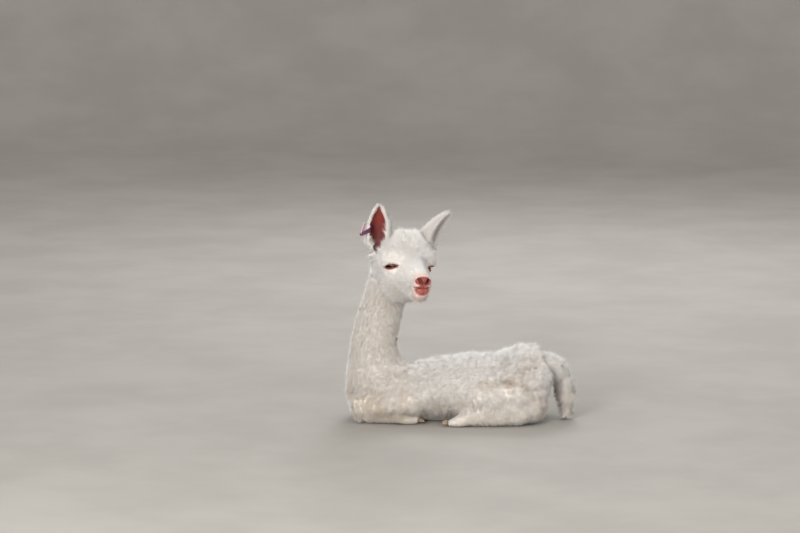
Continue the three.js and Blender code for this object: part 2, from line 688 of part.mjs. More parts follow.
// A flat strip with round ends from one point to another, standing on edge along the ear.
function strip(from, to, wide, thick) {
  const reach = new THREE.Vector3().subVectors(to, from);
  const length = reach.length();
  const x = reach.clone().normalize();
  const flat = new THREE.Vector3().crossVectors(x, new THREE.Vector3(0, 0, 1)).normalize();
  const geometry = new THREE.ExtrudeGeometry(stadium(0, 0, length, 0, wide / 2), {
    depth: thick, bevelEnabled: false, curveSegments: 3,
  });
  geometry.translate(0, 0, -thick / 2);
  const y = new THREE.Vector3().crossVectors(flat, x);
  geometry.applyMatrix4(new THREE.Matrix4().makeBasis(x, y, flat).setPosition(from));
  return solid(geometry);
}

const corner = new THREE.Vector3(...TAG.corner);
const hinge = new THREE.Vector3(...TAG.hinge);
const leafTip = new THREE.Vector3(...TAG.leaf.tip);
const buttonFace = TAG.inner - TAG.button.thick;
const tagFront = peg(buttonFace, TAG.inner, TAG.button.radius)
  .add(peg(TAG.inner - 1, TAG.outer + 1, TAG.pin, 8))
  .add(peg(TAG.outer, TAG.outer + TAG.stud.thick, TAG.stud.radius))
  .add(strip(onWall(buttonFace + 1), corner, TAG.strip.wide, TAG.strip.thick))
  .add(strip(corner, hinge, TAG.strip.wide, TAG.strip.thick));
const leafRoot = hinge.clone().lerp(leafTip, 0.17);
const tagLeaf = strip(leafRoot, leafTip, TAG.leaf.wide, TAG.leaf.thick)
  .subtract(strip(corner, hinge, TAG.strip.wide + 2 * GAP, TAG.strip.thick + 2 * GAP));

const tagSeat = peg(TAG.inner - 2, TAG.outer + TAG.stud.thick, TAG.pin + GAP, 8)
  .add(peg(buttonFace - 2, TAG.inner + GAP, TAG.button.radius + GAP))
  .add(peg(TAG.outer - GAP, TAG.outer + TAG.stud.thick + 2, TAG.stud.radius + GAP));
const place = (manifold, ear) => geometryOf(manifold).applyMatrix4(EARS[ear]);
addMesh('ear_right', place(solid(earGeometry(0)).subtract(tagSeat), 'right'), 'ear');
addMesh('ear_left', place(solid(earGeometry(0)), 'left'), 'ear');
addMesh('tag_button', place(tagFront, 'right'), 'tag');
addMesh('tag_leaf', place(tagLeaf, 'right'), 'tagPale');

// ---------------------------------------------------------------- origin
// The origin is on the floor under the middle of the whole object.
const box = new THREE.Box3().setFromObject(group);
const middle = box.getCenter(new THREE.Vector3());
group.position.set(-middle.x, -middle.y, 0);

export default group;
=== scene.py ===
"""A young alpaca lying with its legs folded under it and its head turned back over its shoulder.

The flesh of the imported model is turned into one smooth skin, which lies inside the packed
outline by the depth of the coat, and the coat grows on it in locks of solid mesh.
Sculpting and coat are worked out in millimetres; objects are made in metres.
"""
import math
from typing import NamedTuple

import bpy
import numpy as np
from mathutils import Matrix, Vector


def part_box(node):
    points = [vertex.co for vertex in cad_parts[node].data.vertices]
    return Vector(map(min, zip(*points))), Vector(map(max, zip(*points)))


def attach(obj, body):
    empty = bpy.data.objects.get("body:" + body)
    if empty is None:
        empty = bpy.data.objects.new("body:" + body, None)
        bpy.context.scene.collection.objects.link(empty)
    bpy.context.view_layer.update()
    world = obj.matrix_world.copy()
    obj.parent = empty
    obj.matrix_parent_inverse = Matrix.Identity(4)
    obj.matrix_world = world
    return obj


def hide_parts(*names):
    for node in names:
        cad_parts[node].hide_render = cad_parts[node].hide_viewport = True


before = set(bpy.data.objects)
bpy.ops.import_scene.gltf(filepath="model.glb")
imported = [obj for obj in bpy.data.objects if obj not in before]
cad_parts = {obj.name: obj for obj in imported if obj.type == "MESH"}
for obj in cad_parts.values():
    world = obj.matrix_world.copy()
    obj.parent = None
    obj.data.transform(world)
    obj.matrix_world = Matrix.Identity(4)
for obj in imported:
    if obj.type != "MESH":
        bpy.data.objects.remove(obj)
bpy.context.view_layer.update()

import openvdb
from mathutils import Vector
from mathutils.kdtree import KDTree

MM = 0.001
SEED = 20261

# ---------------------------------------- grids
WHOLE_PITCH = 2.0               # spacing of the grid that joins the nodes
BODY_PITCH = 2.6                # and of the sculpting grids
HEAD_PITCH = 1.2
NEAR_HEAD_PITCH = 3.0
CLOSING = 1.5                   # how far nodes reach out to close the cuts between them
SEAM_DROP = 8.0                 # body and head are sculpted apart and meet this far under the head
SEAM_OVERLAP = 3.0

# ---------------------------------------- body
REGIONS = {
    "trunk": ["trunk"],
    "haunch": ["hindleg_left_thigh", "hindleg_right_thigh"],
    "shoulder": ["foreleg_left_shoulder", "foreleg_right_shoulder"],
    "neck": ["neck"],
    "tail": ["tail"],
    "leg": ["foreleg_left_lower", "foreleg_right_lower",
            "hindleg_left_lower", "hindleg_right_lower"],
    "foot": ["foot_fore_left", "foot_fore_right", "foot_hind_left", "foot_hind_right"],
    "head": ["head"],
}
EAR_NODES = ["ear_left", "ear_right"]
REGION_BLEND = 5.0              # over this distance one region passes into the next

BODY_SOFTNESS = 4.8
LUMP_SIZE = 5.5
LUMP_HEIGHT = {"trunk": 1.1, "haunch": 1.7, "shoulder": 1.1, "neck": 0.6, "tail": 0.9,
               "leg": 1.0, "foot": 0.1, "head": 0.0}

# The rump's fleece, which fills the step down to the tail: its (x, z) route from the side.
RUMP_ROUTE, RUMP_RADIUS, RUMP_FILLET = [(146, 138), (184, 131), (212, 120)], 20.0, 16.0

# Creases (+) and rolls (-) of the fleece on both flanks: (x, z) route, reach and depth.
FLANK_FORMS = [
    ([(176, 147), (156, 134), (144, 127), (122, 112), (103, 100)], 7.5, 9.0),
    ([(40, 96), (100, 98), (140, 96), (158, 82), (164, 60)], 8.0, 5.5),
    ([(137, 112), (156, 124)], 9.0, -5.0),
]

# ---------------------------------------- head
# The head's frame: turned back past the left shoulder, tipped up a little and rolled.
HEAD_TURN, HEAD_LIFT, HEAD_ROLL = 65.0, 6.0, 5.0
HEAD_UNIT = 10.5                # the head's own unit of length
HEAD_SOFTNESS = 3.2
HEAD_LUMP_SIZE, HEAD_LUMP_HEIGHT = 3.6, 0.9

# Places on the head are in head units, forward, to the side and up; fillets are millimetres.
BROW_FLEECE = ((-0.6, 4.3, 1.7), (2.1, 1.95, 2.1))      # its middle and radii
BROW_FILLET = 9.0
MUZZLE_FORMS = [                # middle, radii and fillet
    ((7.3, 0.0, -2.35), (1.4, 1.55, 1.1), 5.0),         # nose pad
    ((7.2, 0.72, -3.35), (1.3, 1.1, 0.95), 2.6),        # halves of the upper lip
    ((6.9, 0.0, -4.75), (1.3, 1.35, 0.8), 2.4),         # lower lip
    ((6.3, 0.0, -5.3), (1.6, 1.5, 1.1), 4.0),           # chin
]
NOSE_ASIDE = 0.35               # the nose is carried this far to the animal's right
NOSE_SLACK = 4.0                # room in millimetres at its tip, which is modelled afresh
NOSTRIL = [(8.6, 0.32, -2.95), (8.5, 0.68, -2.55), (8.15, 1.0, -2.05)]
NOSTRIL_RADII = (0.2, 0.36)     # narrow at its foot between the lips, wide at its outer top
NOSTRIL_WING = ((8.3, 1.25, -2.55), (7.9, 1.65, -2.2), 0.24)
MOUTH_LEVEL, MOUTH_BOW = -4.05, -0.1
BARE_PAD = ((8.3, 0.0, -2.45), (1.4, 2.0, 1.1))         # the red skin of the nose
BARE_LIPS = ((7.7, 0.0, -4.15), (1.65, 1.75, 1.55))

# ---------------------------------------- eyes
EYE_FORWARD, EYE_UP = -0.2, 0.15    # place of the eyes in head units
EYE_TURN = 55.0                 # from straight ahead to the side
EYE_RADIUS = 16.5
CORNEA_RISE = 0.9
PUPIL_LENGTH, PUPIL_HEIGHT = 0.36, 0.16     # half axes as shares of the eyeball's radius
LID_HALF_LENGTH = 15.5
LID_UPPER, LID_LOWER = 4.2, 5.0     # how far the lids part from the line of the corners
LID_SHIFT = -2.6                    # place of the almond's middle along the eye
LID_RAISE = {"eye_left": 0.4, "eye_right": 3.6}     # and over the eyeball's middle
LID_THICKNESS = 1.9
TEAR_PLACE, TEAR_RADII = (19.0, -0.2), (8.0, 3.8)   # the wet corner towards the nose
LASHES, LASH_STEPS, LASH_WIDTH = 46, 5, 0.42
LASH_LENGTH = (13.0, 5.0)       # on the upper and the lower lid

# ---------------------------------------- ears
EAR_LENGTH = 120.0
EAR_SINK = 14.0
EAR_CURL = 7.0
EAR_OPEN = 112.0                # the bare shell reaches this far round on each side
EAR_ROOT_SHARE = 0.45           # radius of the bare ear at its root, as a share
EAR_INSET = 3.0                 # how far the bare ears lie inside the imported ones
EAR_FRINGE = 4.5                # the coat is so much deeper at their roots
# Along the ear: share of its length, radius, half angle of the shell and its thickness.
EAR_SECTIONS = [(0.0, 17.0, 160.0, 8.0), (0.13, 20.0, 146.0, 8.0), (0.28, 25.0, 120.0, 8.0),
                (0.43, 27.0, 104.0, 7.5), (0.58, 26.0, 96.0, 7.0), (0.72, 23.0, 92.0, 6.5),
                (0.84, 18.5, 90.0, 6.0), (0.93, 14.0, 90.0, 5.0), (1.0, 8.5, 88.0, 3.2)]
# The root in head units, the ways it points and opens, how much red skin shows in its
# hollow and how deep its coat is.
EAR_FORMS = [
    ((-4.4, 5.7, 3.9), (0.05, -0.08, 1.0), (0.05, -1.0, 0.05), 1.0, 3.2),
    ((-4.4, -4.5, 4.0), (0.55, 0.12, 0.78), (0.66, -0.42, -0.55), 0.4, 5.0),
]
EAR_HOLLOW = ((6.0, 0.0, 24.0), (11.0, 10.0, 17.0))     # the well at the root, in its frame


# ---------------------------------------- coat
class Kind(NamedTuple):
    """How the locks of one region are made, in millimetres and degrees."""
    count: int                  # locks on the whole region
    width: float
    lift: float                 # angle at which a lock leaves the skin, on average
    spread: float               # how far locks turn from the lie of the coat
    clump: int                  # locks that gather into one tuft
    attract: float              # how far their tips come together
    curl: float                 # how far tips wander sideways
    stray: float = 0.1          # share of finer locks that stand out
    fluff: float = 0.0          # and how far they do


KINDS = {
    "trunk": Kind(86000, 1.7, 38.0, 42.0, 18, 0.28, 1.8, 0.2, 5.0),
    "haunch": Kind(34000, 1.7, 40.0, 50.0, 22, 0.38, 2.0, 0.18, 6.0),
    "shoulder": Kind(14000, 1.7, 38.0, 42.0, 18, 0.28, 1.8, 0.2, 4.0),
    "neck": Kind(56000, 1.6, 32.0, 28.0, 22, 0.45, 1.6, 0.18, 4.5),
    "tail": Kind(15000, 1.8, 36.0, 32.0, 22, 0.45, 1.6, 0.25, 8.0),
    "leg": Kind(34000, 1.6, 36.0, 36.0, 18, 0.3, 1.5, 0.18, 4.0),
    "foot": Kind(8000, 1.3, 24.0, 18.0, 6, 0.2, 0.3),
    "head": Kind(90000, 1.35, 27.0, 26.0, 16, 0.42, 1.2, 0.16, 7.0),
    "ear": Kind(32000, 0.9, 24.0, 18.0, 8, 0.25, 0.6, 0.3, 5.0),
}
COAT_SHARE = 1.0
COAT_DEPTH = {"trunk": 11.0, "haunch": 11.0, "shoulder": 10.0, "neck": 8.5, "tail": 8.0,
              "leg": 7.5, "foot": 3.0, "head": 7.0}
EYE_COAT = 1.2                      # depth of the coat round the eyes
LIE = {                             # the way the coat lies: towards the tail, to the side, up
    "trunk": (0.75, 0.0, -0.6), "haunch": (0.3, 0.0, -0.9), "shoulder": (0.35, 0.0, -0.9),
    "neck": (0.15, 0.0, -1.0), "tail": (0.25, 0.0, -1.0), "leg": (0.45, 0.0, -0.6),
    "foot": (0.2, 0.0, -0.6),
}
SHORTEST_LOCK = 4.5
ROOT_SINK = 0.7                     # locks start this far under the skin
LOWEST = 0.9                        # and never come nearer to the floor than this
SHADE_LEAN = 0.45                   # how far a lock's shading follows its own direction
FRECKLED = 0.01                     # share of the locks on the head that are brown
LOCK_TRIANGLES = 4
PIECE_TRIANGLES = 195000            # the most in one joined piece of coat
PATCH = 0.003                       # size of a lock's patch on the bake map
CHART_GAP = 6.0                     # between the charts of that map

# ---------------------------------------- studio
# The camera's height, distance and lens give the same framing as the photograph.
CAMERA_TARGET = (-0.1378, 0.0242, 0.3532)
CAMERA_DISTANCE = 8.0
CAMERA_RISE = 9.0
CAMERA_LENS = 158.4
LIGHTS_AIM = (-0.05, 0.02, 0.2)
LIGHTS = {                          # place, size, power and colour
    "key": ((-1.5, -3.4, 1.5), 1.6, 104.0, (1.0, 0.985, 0.965)),
    "fill": ((2.6, -1.8, 1.2), 2.2, 20.0, (1.0, 0.98, 0.95)),
    "rim": ((0.4, 2.6, 2.4), 1.8, 54.0, (0.98, 0.99, 1.0)),
}
SKY_COLOUR, SKY_STRENGTH = (1.0, 0.985, 0.965, 1.0), 0.74
FLOOR_HALF, FLOOR_DEPTH, FLOOR_BEND, FLOOR_TOP = 9.0, 7.0, 2.5, 6.0


def linear(red, green, blue):
    """A colour given as 0 to 255 screen values, in linear light."""
    def channel(value):
        share = value / 255.0
        return share / 12.92 if share <= 0.04045 else ((share + 0.055) / 1.055) ** 2.4
    return channel(red), channel(green), channel(blue)


WHITE_WOOL = linear(253, 251, 248)
CREAM_WOOL = linear(250, 247, 242)
WARM_WOOL = linear(244, 235, 225)
DIM_WOOL = linear(226, 219, 211)
# Soiled wool, which also carries the painted shade in the flank creases and on the throat
SOILED_AND_SHADED_WOOL = linear(222, 198, 168)
FRECKLE = linear(168, 132, 112)
PINK_SKIN = linear(226, 178, 166)
PALE_FLUSH = linear(188, 116, 106)
FLUSH_SKIN = linear(136, 54, 46)
DEEP_FLUSH = linear(128, 44, 38)
# Painted shade on bare skin: in the nostrils, along the mouth, at the lid edges and deep in the
# ears
PAINTED_SHADE_SKIN = linear(58, 22, 22)
LASH_TONES = linear(246, 242, 236), linear(225, 214, 200)
IRIS_TONES = linear(20, 13, 13), linear(34, 21, 18)
PUPIL_BLACK = linear(9, 9, 12)
EYE_WHITE = linear(52, 32, 30)
HORN_TONES = linear(176, 152, 122), linear(122, 98, 74)
# The tag's plastic in two copies: dark with painted shade for the button, pale with a painted
# highlight for the leaf
SHADED_TAG_TONES = linear(74, 26, 58), linear(112, 44, 88)
LIT_TAG_TONES = linear(226, 196, 212), linear(206, 96, 156)
FLOOR_TONES = linear(158, 154, 148), linear(166, 162, 156)


# ---------------------------------------- camera, floor and light
def add_to_scene(name, data, place=(0.0, 0.0, 0.0), aim=None):
    made = bpy.data.objects.new(name, data)
    made.location = place
    if aim is not None:
        made.rotation_mode = "QUATERNION"
        made.rotation_quaternion = (Vector(aim) - Vector(place)).to_track_quat("-Z", "Y")
    bpy.context.scene.collection.objects.link(made)
    return made


def add_camera():
    data = bpy.data.cameras.new("camera")
    data.lens = CAMERA_LENS
    data.clip_end = 100.0
    rise = math.radians(CAMERA_RISE)
    back = Vector((0.0, -math.cos(rise), math.sin(rise)))
    place = Vector(CAMERA_TARGET) + back * CAMERA_DISTANCE
    bpy.context.scene.camera = add_to_scene("camera", data, place, CAMERA_TARGET)


def add_lights():
    for name, (place, size, power, colour) in LIGHTS.items():
        data = bpy.data.lights.new(name, "AREA")
        data.shape = "DISK"
        data.size = size
        data.energy = power
        data.color = colour
        add_to_scene(name, data, place, LIGHTS_AIM)
    world = bpy.data.worlds.new("studio")
    world.use_nodes = True
    sky = world.node_tree.nodes["Background"]
    sky.inputs["Color"].default_value = SKY_COLOUR
    sky.inputs["Strength"].default_value = SKY_STRENGTH
    bpy.context.scene.world = world
    bpy.context.scene.view_settings.view_transform = "Standard"


def add_floor():
    """A pale floor that curves up into a backdrop far behind."""
    start = FLOOR_DEPTH - FLOOR_BEND
    profile = [(-FLOOR_DEPTH, 0.0), (start, 0.0)]
    for step in range(1, 13):
        turn = math.radians(90.0 * step / 12)
        profile.append((start + FLOOR_BEND * math.sin(turn), FLOOR_BEND * (1.0 - math.cos(turn))))
    profile.append((FLOOR_DEPTH, FLOOR_TOP))
    verts = [(side * FLOOR_HALF, y, z) for y, z in profile for side in (-1, 1)]
    faces = [(2 * n, 2 * n + 1, 2 * n + 3, 2 * n + 2) for n in range(len(profile) - 1)]
    mesh = bpy.data.meshes.new("floor")
    mesh.from_pydata(verts, [], faces)
    mesh.shade_smooth()
    mesh.materials.append(floor_material())
    add_to_scene("floor", mesh)


# ---------------------------------------- materials
class Nodes:
    """A material in the making, with short calls for the nodes used here."""

    def __init__(self, name):
        self.material = bpy.data.materials.new(name)
        self.material.use_nodes = True
        self.tree = self.material.node_tree
        self.shader = self.tree.nodes["Principled BSDF"]
        self.place = self.tree.nodes.new("ShaderNodeTexCoord").outputs["Object"]

    def give(self, target, value):
        """Links another node's output to an input, or sets the input to a value."""
        if isinstance(value, bpy.types.NodeSocket):
            self.tree.links.new(value, target)
        else:
            target.default_value = (*value, 1.0) if isinstance(value, tuple) else value

    def node(self, kind, **inputs):
        node = self.tree.nodes.new(kind)
        for name, value in inputs.items():
            self.give(node.inputs[name.replace("_", " ")], value)
        return node

    def noise(self, scale, detail=3.0, stretch=None):
        place = self.place
        if stretch:
            mapping = self.node("ShaderNodeMapping", Vector=place)
            mapping.inputs["Scale"].default_value = stretch
            place = mapping.outputs["Vector"]
        return self.node("ShaderNodeTexNoise", Scale=scale, Detail=detail, Roughness=0.6,
                         Vector=place).outputs["Fac"]

    def ramp(self, source, low, high, start=0.0, end=1.0):
        node = self.node("ShaderNodeMapRange", Value=source)
        node.interpolation_type = "SMOOTHSTEP"
        for name, value in zip(("From Min", "From Max", "To Min", "To Max"),
                               (low, high, start, end)):
            node.inputs[name].default_value = value
        return node.outputs["Result"]

    def attribute(self, name):
        node = self.node("ShaderNodeAttribute")
        node.attribute_name = name
        return node.outputs["Fac"]

    def mix(self, share, first, second):
        """Two colours mixed by a share."""
        node = self.node("ShaderNodeMix")
        node.data_type = "RGBA"
        for name, value in (("A", first), ("B", second)):
            target = [s for s in node.inputs if s.name == name and s.type == "RGBA"][0]
            self.give(target, value)
        self.give(node.inputs["Factor"], share)
        return [s for s in node.outputs if s.type == "RGBA"][0]

    def times(self, first, second):
        node = self.node("ShaderNodeMath")
        node.operation = "MULTIPLY"
        for slot, value in enumerate((first, second)):
            self.give(node.inputs[slot], value)
        return node.outputs[0]

    def bump(self, height, strength, distance):
        bump = self.node("ShaderNodeBump", Strength=strength, Distance=distance, Height=height)
        self.give(self.shader.inputs["Normal"], bump.outputs["Normal"])

    def finish(self, colour, **values):
        self.give(self.shader.inputs["Base Color"], colour)
        for name, value in values.items():
            self.shader.inputs[name.replace("_", " ")].default_value = value
        return self.material


def floor_material():
    made = Nodes("floor")
    tone = made.ramp(made.noise(3.0), 0.3, 0.7)
    return made.finish(made.mix(tone, *FLOOR_TONES), Roughness=0.85)


def wool_tone(made):
    """The coat's colour by place, which skin and coat share, with soiling and painted shade."""
    broad = made.ramp(made.noise(14.0), 0.35, 0.65)
    fine = made.ramp(made.noise(140.0, 4.0), 0.35, 0.7)
    cream = made.mix(broad, WHITE_WOOL, CREAM_WOOL)
    clean = made.mix(made.times(fine, 0.55), cream, WARM_WOOL)
    patches = made.ramp(made.noise(34.0, 4.0), 0.3, 0.65, 0.35, 1.0)
    # Browner wool where soiled low down, and painted shade in the flank creases and on the throat
    return made.mix(made.times(made.attribute("soil"), patches), clean, SOILED_AND_SHADED_WOOL)


def skin_material():
    made = Nodes("skin")
    wool = wool_tone(made)
    mottle = made.ramp(made.noise(240.0, 4.0), 0.38, 0.62)
    flush = made.mix(mottle, PALE_FLUSH, FLUSH_SKIN)
    hollow = made.mix(mottle, FLUSH_SKIN, DEEP_FLUSH)
    worked = made.mix(made.attribute("flush"), flush, hollow)
    # The deep mark paints shade on the skin in the nostrils, along the mouth, at the lid edges and
    # deep in the ears
    deep = made.mix(made.attribute("deep"), worked, PAINTED_SHADE_SKIN)
    pink = made.mix(made.attribute("blush"), wool, PINK_SKIN)
    made.bump(made.noise(900.0, 4.0), 0.35, 0.0006)
    return made.finish(made.mix(made.attribute("bare"), pink, deep), Roughness=0.62)


def wool_material():
    made = Nodes("wool")
    wool = wool_tone(made)
    toned = made.mix(made.times(made.attribute("tone"), 0.5), wool, DIM_WOOL)
    # Lock roots are warmer and darker than their tips: painted shade deep in the coat
    shaded = made.mix(made.ramp(made.attribute("tip"), -0.5, 0.45), WARM_WOOL, toned)
    tinted = made.mix(made.attribute("blush"), shaded, PINK_SKIN)
    freckled = made.mix(made.attribute("freckle"), tinted, FRECKLE)
    return made.finish(freckled, Roughness=0.9, Sheen_Weight=0.7, Sheen_Roughness=0.5,
                       Specular_IOR_Level=0.2)


def lash_material():
    made = Nodes("lash")
    tone = made.ramp(made.noise(300.0), 0.3, 0.7)
    return made.finish(made.mix(tone, *LASH_TONES), Roughness=0.5)


def eye_material():
    made = Nodes("eye_wet")
    iris = made.mix(made.ramp(made.noise(420.0), 0.35, 0.65), *IRIS_TONES)
    pupil = made.mix(made.attribute("pupil"), iris, PUPIL_BLACK)
    colour = made.mix(made.attribute("white"), pupil, EYE_WHITE)
    return made.finish(colour, Roughness=0.06, Specular_IOR_Level=0.14)


def nail_material():
    made = Nodes("horn")
    rings = made.noise(120.0, stretch=(6.0, 0.6, 1.0))
    made.bump(rings, 0.3, 0.0006)
    return made.finish(made.mix(made.ramp(rings, 0.3, 0.7), *HORN_TONES), Roughness=0.45)


def tag_material(name, tones):
    made = Nodes(name)
    # Noise mixes the two tones given; on the leaf the paler one is the painted highlight
    tag_mottle = made.ramp(made.noise(220.0, 5.0), 0.42, 0.72)
    made.bump(made.noise(700.0), 0.15, 0.0004)
    return made.finish(made.mix(tag_mottle, *tones), Roughness=0.38)


# ---------------------------------------- shapes as distances
def rising(value, low, high):
    """From 0 at the low end to 1 at the high end, with soft ends."""
    share = np.clip((value - low) / (high - low), 0.0, 1.0)
    return share * share * (3.0 - 2.0 * share)


def falling(value, low, high):
    return 1.0 - rising(value, low, high)


def bell(value, reach):
    """1 at nought, dying away over the reach on both sides."""
    return np.exp(-(value / reach) ** 2)


def unit(vectors):
    """The same directions at length 1."""
    return np.asarray(vectors) / (np.linalg.norm(vectors, axis=-1, keepdims=True) + 1e-9)


def union(first, second, reach):
    """The two shapes joined, with a fillet of that reach."""
    share = np.clip(0.5 + 0.5 * (second - first) / reach, 0.0, 1.0)
    return second + (first - second) * share - reach * share * (1.0 - share)


def carve(shape, hollow, reach):
    """The shape without the hollow, with its edge rounded over that reach."""
    return -union(-shape, hollow, reach)


def ellipsoid(local, centre, radii):
    """Distance to an ellipsoid given in head units."""
    parts = [(local[n] - centre[n]) / radii[n] for n in range(3)]
    near = np.sqrt(sum(part * part for part in parts)) + 1e-6
    steep = np.sqrt(sum((part / radii[n]) ** 2 for n, part in enumerate(parts))) + 1e-6
    return HEAD_UNIT * near * (near - 1.0) / steep


def capsule(local, first, last, radius):
    """Distance to a round bar between two places in head units."""
    first, last = np.array(first), np.array(last)
    along = last - first
    offset = [local[n] - first[n] for n in range(3)]
    share = sum(offset[n] * along[n] for n in range(3)) / (along @ along)
    share = np.clip(share, 0.0, 1.0)
    gap = np.sqrt(sum((offset[n] - share * along[n]) ** 2 for n in range(3)))
    return HEAD_UNIT * (gap - radius)


def route_gap(x, z, route):
    """Distance, seen from the side, to a chain of (x, z) places."""
    nearest = np.inf
    for (x0, z0), (x1, z1) in zip(route, route[1:]):
        along_x, along_z = x1 - x0, z1 - z0
        share = ((x - x0) * along_x + (z - z0) * along_z) / (along_x ** 2 + along_z ** 2)
        share = np.clip(share, 0.0, 1.0)
        gap = np.hypot(x - x0 - share * along_x, z - z0 - share * along_z)
        nearest = np.minimum(nearest, gap)
    return nearest


# ---------------------------------------- meshes as arrays
def mesh_arrays(mesh):
    """Points and triangles of a mesh, in millimetres."""
    mesh.calc_loop_triangles()
    points = np.empty(len(mesh.vertices) * 3, np.float32)
    mesh.vertices.foreach_get("co", points)
    corners = np.empty(len(mesh.loop_triangles) * 3, np.int32)
    mesh.loop_triangles.foreach_get("vertices", corners)
    return points.reshape(-1, 3) / MM, corners.reshape(-1, 3)


def node_mesh(name):
    return mesh_arrays(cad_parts[name].data)


def node_middle(name):
    low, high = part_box(name)
    return (np.array(low) + np.array(high)) / 2 / MM


def joined(parts):
    points, triangles, count = [], [], 0
    for part_points, part_triangles in parts:
        points.append(part_points)
        triangles.append(part_triangles + count)
        count += len(part_points)
    return np.concatenate(points), np.concatenate(triangles)


def face_directions(points, triangles):
    """A normal for each triangle, as long as twice its area."""
    corners = points[triangles]
    return np.cross(corners[:, 1] - corners[:, 0], corners[:, 2] - corners[:, 0])


def point_normals(points, triangles):
    facing = face_directions(points, triangles)
    normals = np.zeros_like(points)
    for corner in range(3):
        np.add.at(normals, triangles[:, corner], facing)
    return unit(normals)


def facing_out(points, triangles):
    """The triangles of a closed shape, turned over if they face inwards."""
    corners = points[triangles]
    volume = np.einsum("ij,ij->i", corners[:, 0], np.cross(corners[:, 1], corners[:, 2])).sum()
    return triangles if volume > 0 else triangles[:, ::-1]


def tube(rings, size):
    """The triangles between closed rings of that many points which follow one another."""
    a = np.arange(size)
    b = (a + 1) % size
    wall = np.concatenate([np.stack([a, b, b + size], 1), np.stack([a, b + size, a + size], 1)])
    return (np.arange(rings - 1)[:, None, None] * size + wall).reshape(-1, 3)


def largest_part(points, triangles):
    """The largest connected part of a mesh."""
    label = np.arange(len(points))
    while True:
        least = label[triangles].min(axis=1)
        before = label.copy()
        for corner in range(3):
            np.minimum.at(label, triangles[:, corner], least)
        label = label[label]
        if (label == before).all():
            break
    names, counts = np.unique(label, return_counts=True)
    kept = label == names[counts.argmax()]
    place = np.cumsum(kept) - 1
    return points[kept], place[triangles[kept[triangles[:, 0]]]]


class Grid:
    """Evenly spaced points in a box, on which shapes are signed distances in millimetres."""

    def __init__(self, low, high, pitch):
        self.pitch = pitch
        self.start = np.floor(np.array(low) / pitch).astype(int)
        self.shape = tuple(np.ceil(np.array(high) / pitch).astype(int) - self.start + 1)

    def axes(self):
        lines = [(self.start[n] + np.arange(self.shape[n])) * self.pitch for n in range(3)]
        return np.meshgrid(*[line.astype(np.float32) for line in lines],
                           indexing="ij", sparse=True)

    def distance(self, parts, band):
        """Distance to the joined parts, true within the band on each side."""
        points, triangles = joined(parts)
        shape = openvdb.FloatGrid.createLevelSetFromPolygons(
            points.astype(np.float32), triangles=triangles.astype(np.uint32),
            transform=openvdb.createLinearTransform(self.pitch),
            exBandWidth=band / self.pitch, inBandWidth=band / self.pitch)
        field = np.empty(self.shape, np.float32)
        shape.copyToArray(field, ijk=tuple(int(v) for v in self.start))
        return field

    def smoothed(self, field, spread):
        field = field.copy()
        for _ in range(max(1, round(2.0 * (spread / self.pitch) ** 2))):
            for axis in range(3):
                turned = np.moveaxis(field, axis, 0)
                inner = 0.25 * (turned[:-2] + turned[2:]) + 0.5 * turned[1:-1]
                turned[1:-1] = inner
        return field

    def lumps(self, size, seed):
        """Random lumps of that size, up and down by about one."""
        lumps = np.random.default_rng(seed).normal(size=self.shape).astype(np.float32)
        lumps = self.smoothed(lumps, size)
        return lumps / lumps.std()

    def sample(self, field, places):
        local = places / self.pitch - self.start
        local = np.clip(local, 0.0, np.array(self.shape) - 1.001)
        cell = local.astype(int)
        part = local - cell
        found = np.zeros(len(places), np.float32)
        for corner in range(8):
            step = np.array([(corner >> n) & 1 for n in range(3)])
            share = np.prod(np.where(step, part, 1.0 - part), axis=1)
            where = cell + step
            found += share * field[where[:, 0], where[:, 1], where[:, 2]]
        return found

    def surface(self, field):
        """Points and triangles of the zero level."""
        band = 3.0 * self.pitch
        shape = openvdb.FloatGrid(band)
        shape.copyFromArray(np.clip(field, -band, band).astype(np.float32),
                            ijk=tuple(int(v) for v in self.start))
        shape.transform = openvdb.createLinearTransform(self.pitch)
        points, triangles, quads = shape.convertToPolygons(0.0, 0.0)
        faces = [triangles.astype(np.int64)] if len(triangles) else []
        faces += [quads[:, [0, 1, 2]].astype(np.int64), quads[:, [0, 2, 3]].astype(np.int64)]
        return points, facing_out(points, np.concatenate(faces))


# ---------------------------------------- frames of head, ears and eyes
class Frame:
    """A place and three directions at right angles, to measure from."""

    def __init__(self, origin, axes, length=1.0):
        self.origin, self.axes, self.length = origin, axes, length

    def point(self, *amounts):
        """The place that lies so far along each direction."""
        offset = sum(np.multiply.outer(far, axis) for far, axis in zip(amounts, self.axes))
        return self.origin + self.length * offset

    def local(self, x, y, z):
        """How far grid lines or columns of places lie along each direction."""
        return [(axis[0] * x + axis[1] * y + axis[2] * z - float(axis @ self.origin))
                / self.length for axis in self.axes]


def head_frame():
    """Forward to the nose, to the animal's right, and up, in head units."""
    turn, lift, roll = (math.radians(angle) for angle in (HEAD_TURN, HEAD_LIFT, HEAD_ROLL))
    forward = np.array([math.cos(turn) * math.cos(lift), -math.sin(turn) * math.cos(lift),
                        math.sin(lift)])
    level = np.array([-math.sin(turn), -math.cos(turn), 0.0])
    rise = np.cross(level, forward)
    right = level * math.cos(roll) + rise * math.sin(roll)
    up = rise * math.cos(roll) - level * math.sin(roll)
    middle = (node_middle("eye_left") + node_middle("eye_right")) / 2
    origin = middle - HEAD_UNIT * (EYE_FORWARD * forward + EYE_UP * up)
    return Frame(origin, (forward, right, up), HEAD_UNIT)


HEAD = head_frame()


class Ear(Frame):
    """The ear stands along z from its root and opens towards x."""

    def __init__(self, root, points, opens, blush, coat):
        z = unit(points)
        opens = np.array(opens)
        x = unit(opens - z * (opens @ z))
        super().__init__(HEAD.point(*root) - z * EAR_SINK, (x, np.cross(z, x), z))
        self.blush, self.coat = blush, coat


EARS = [Ear(*form) for form in EAR_FORMS]


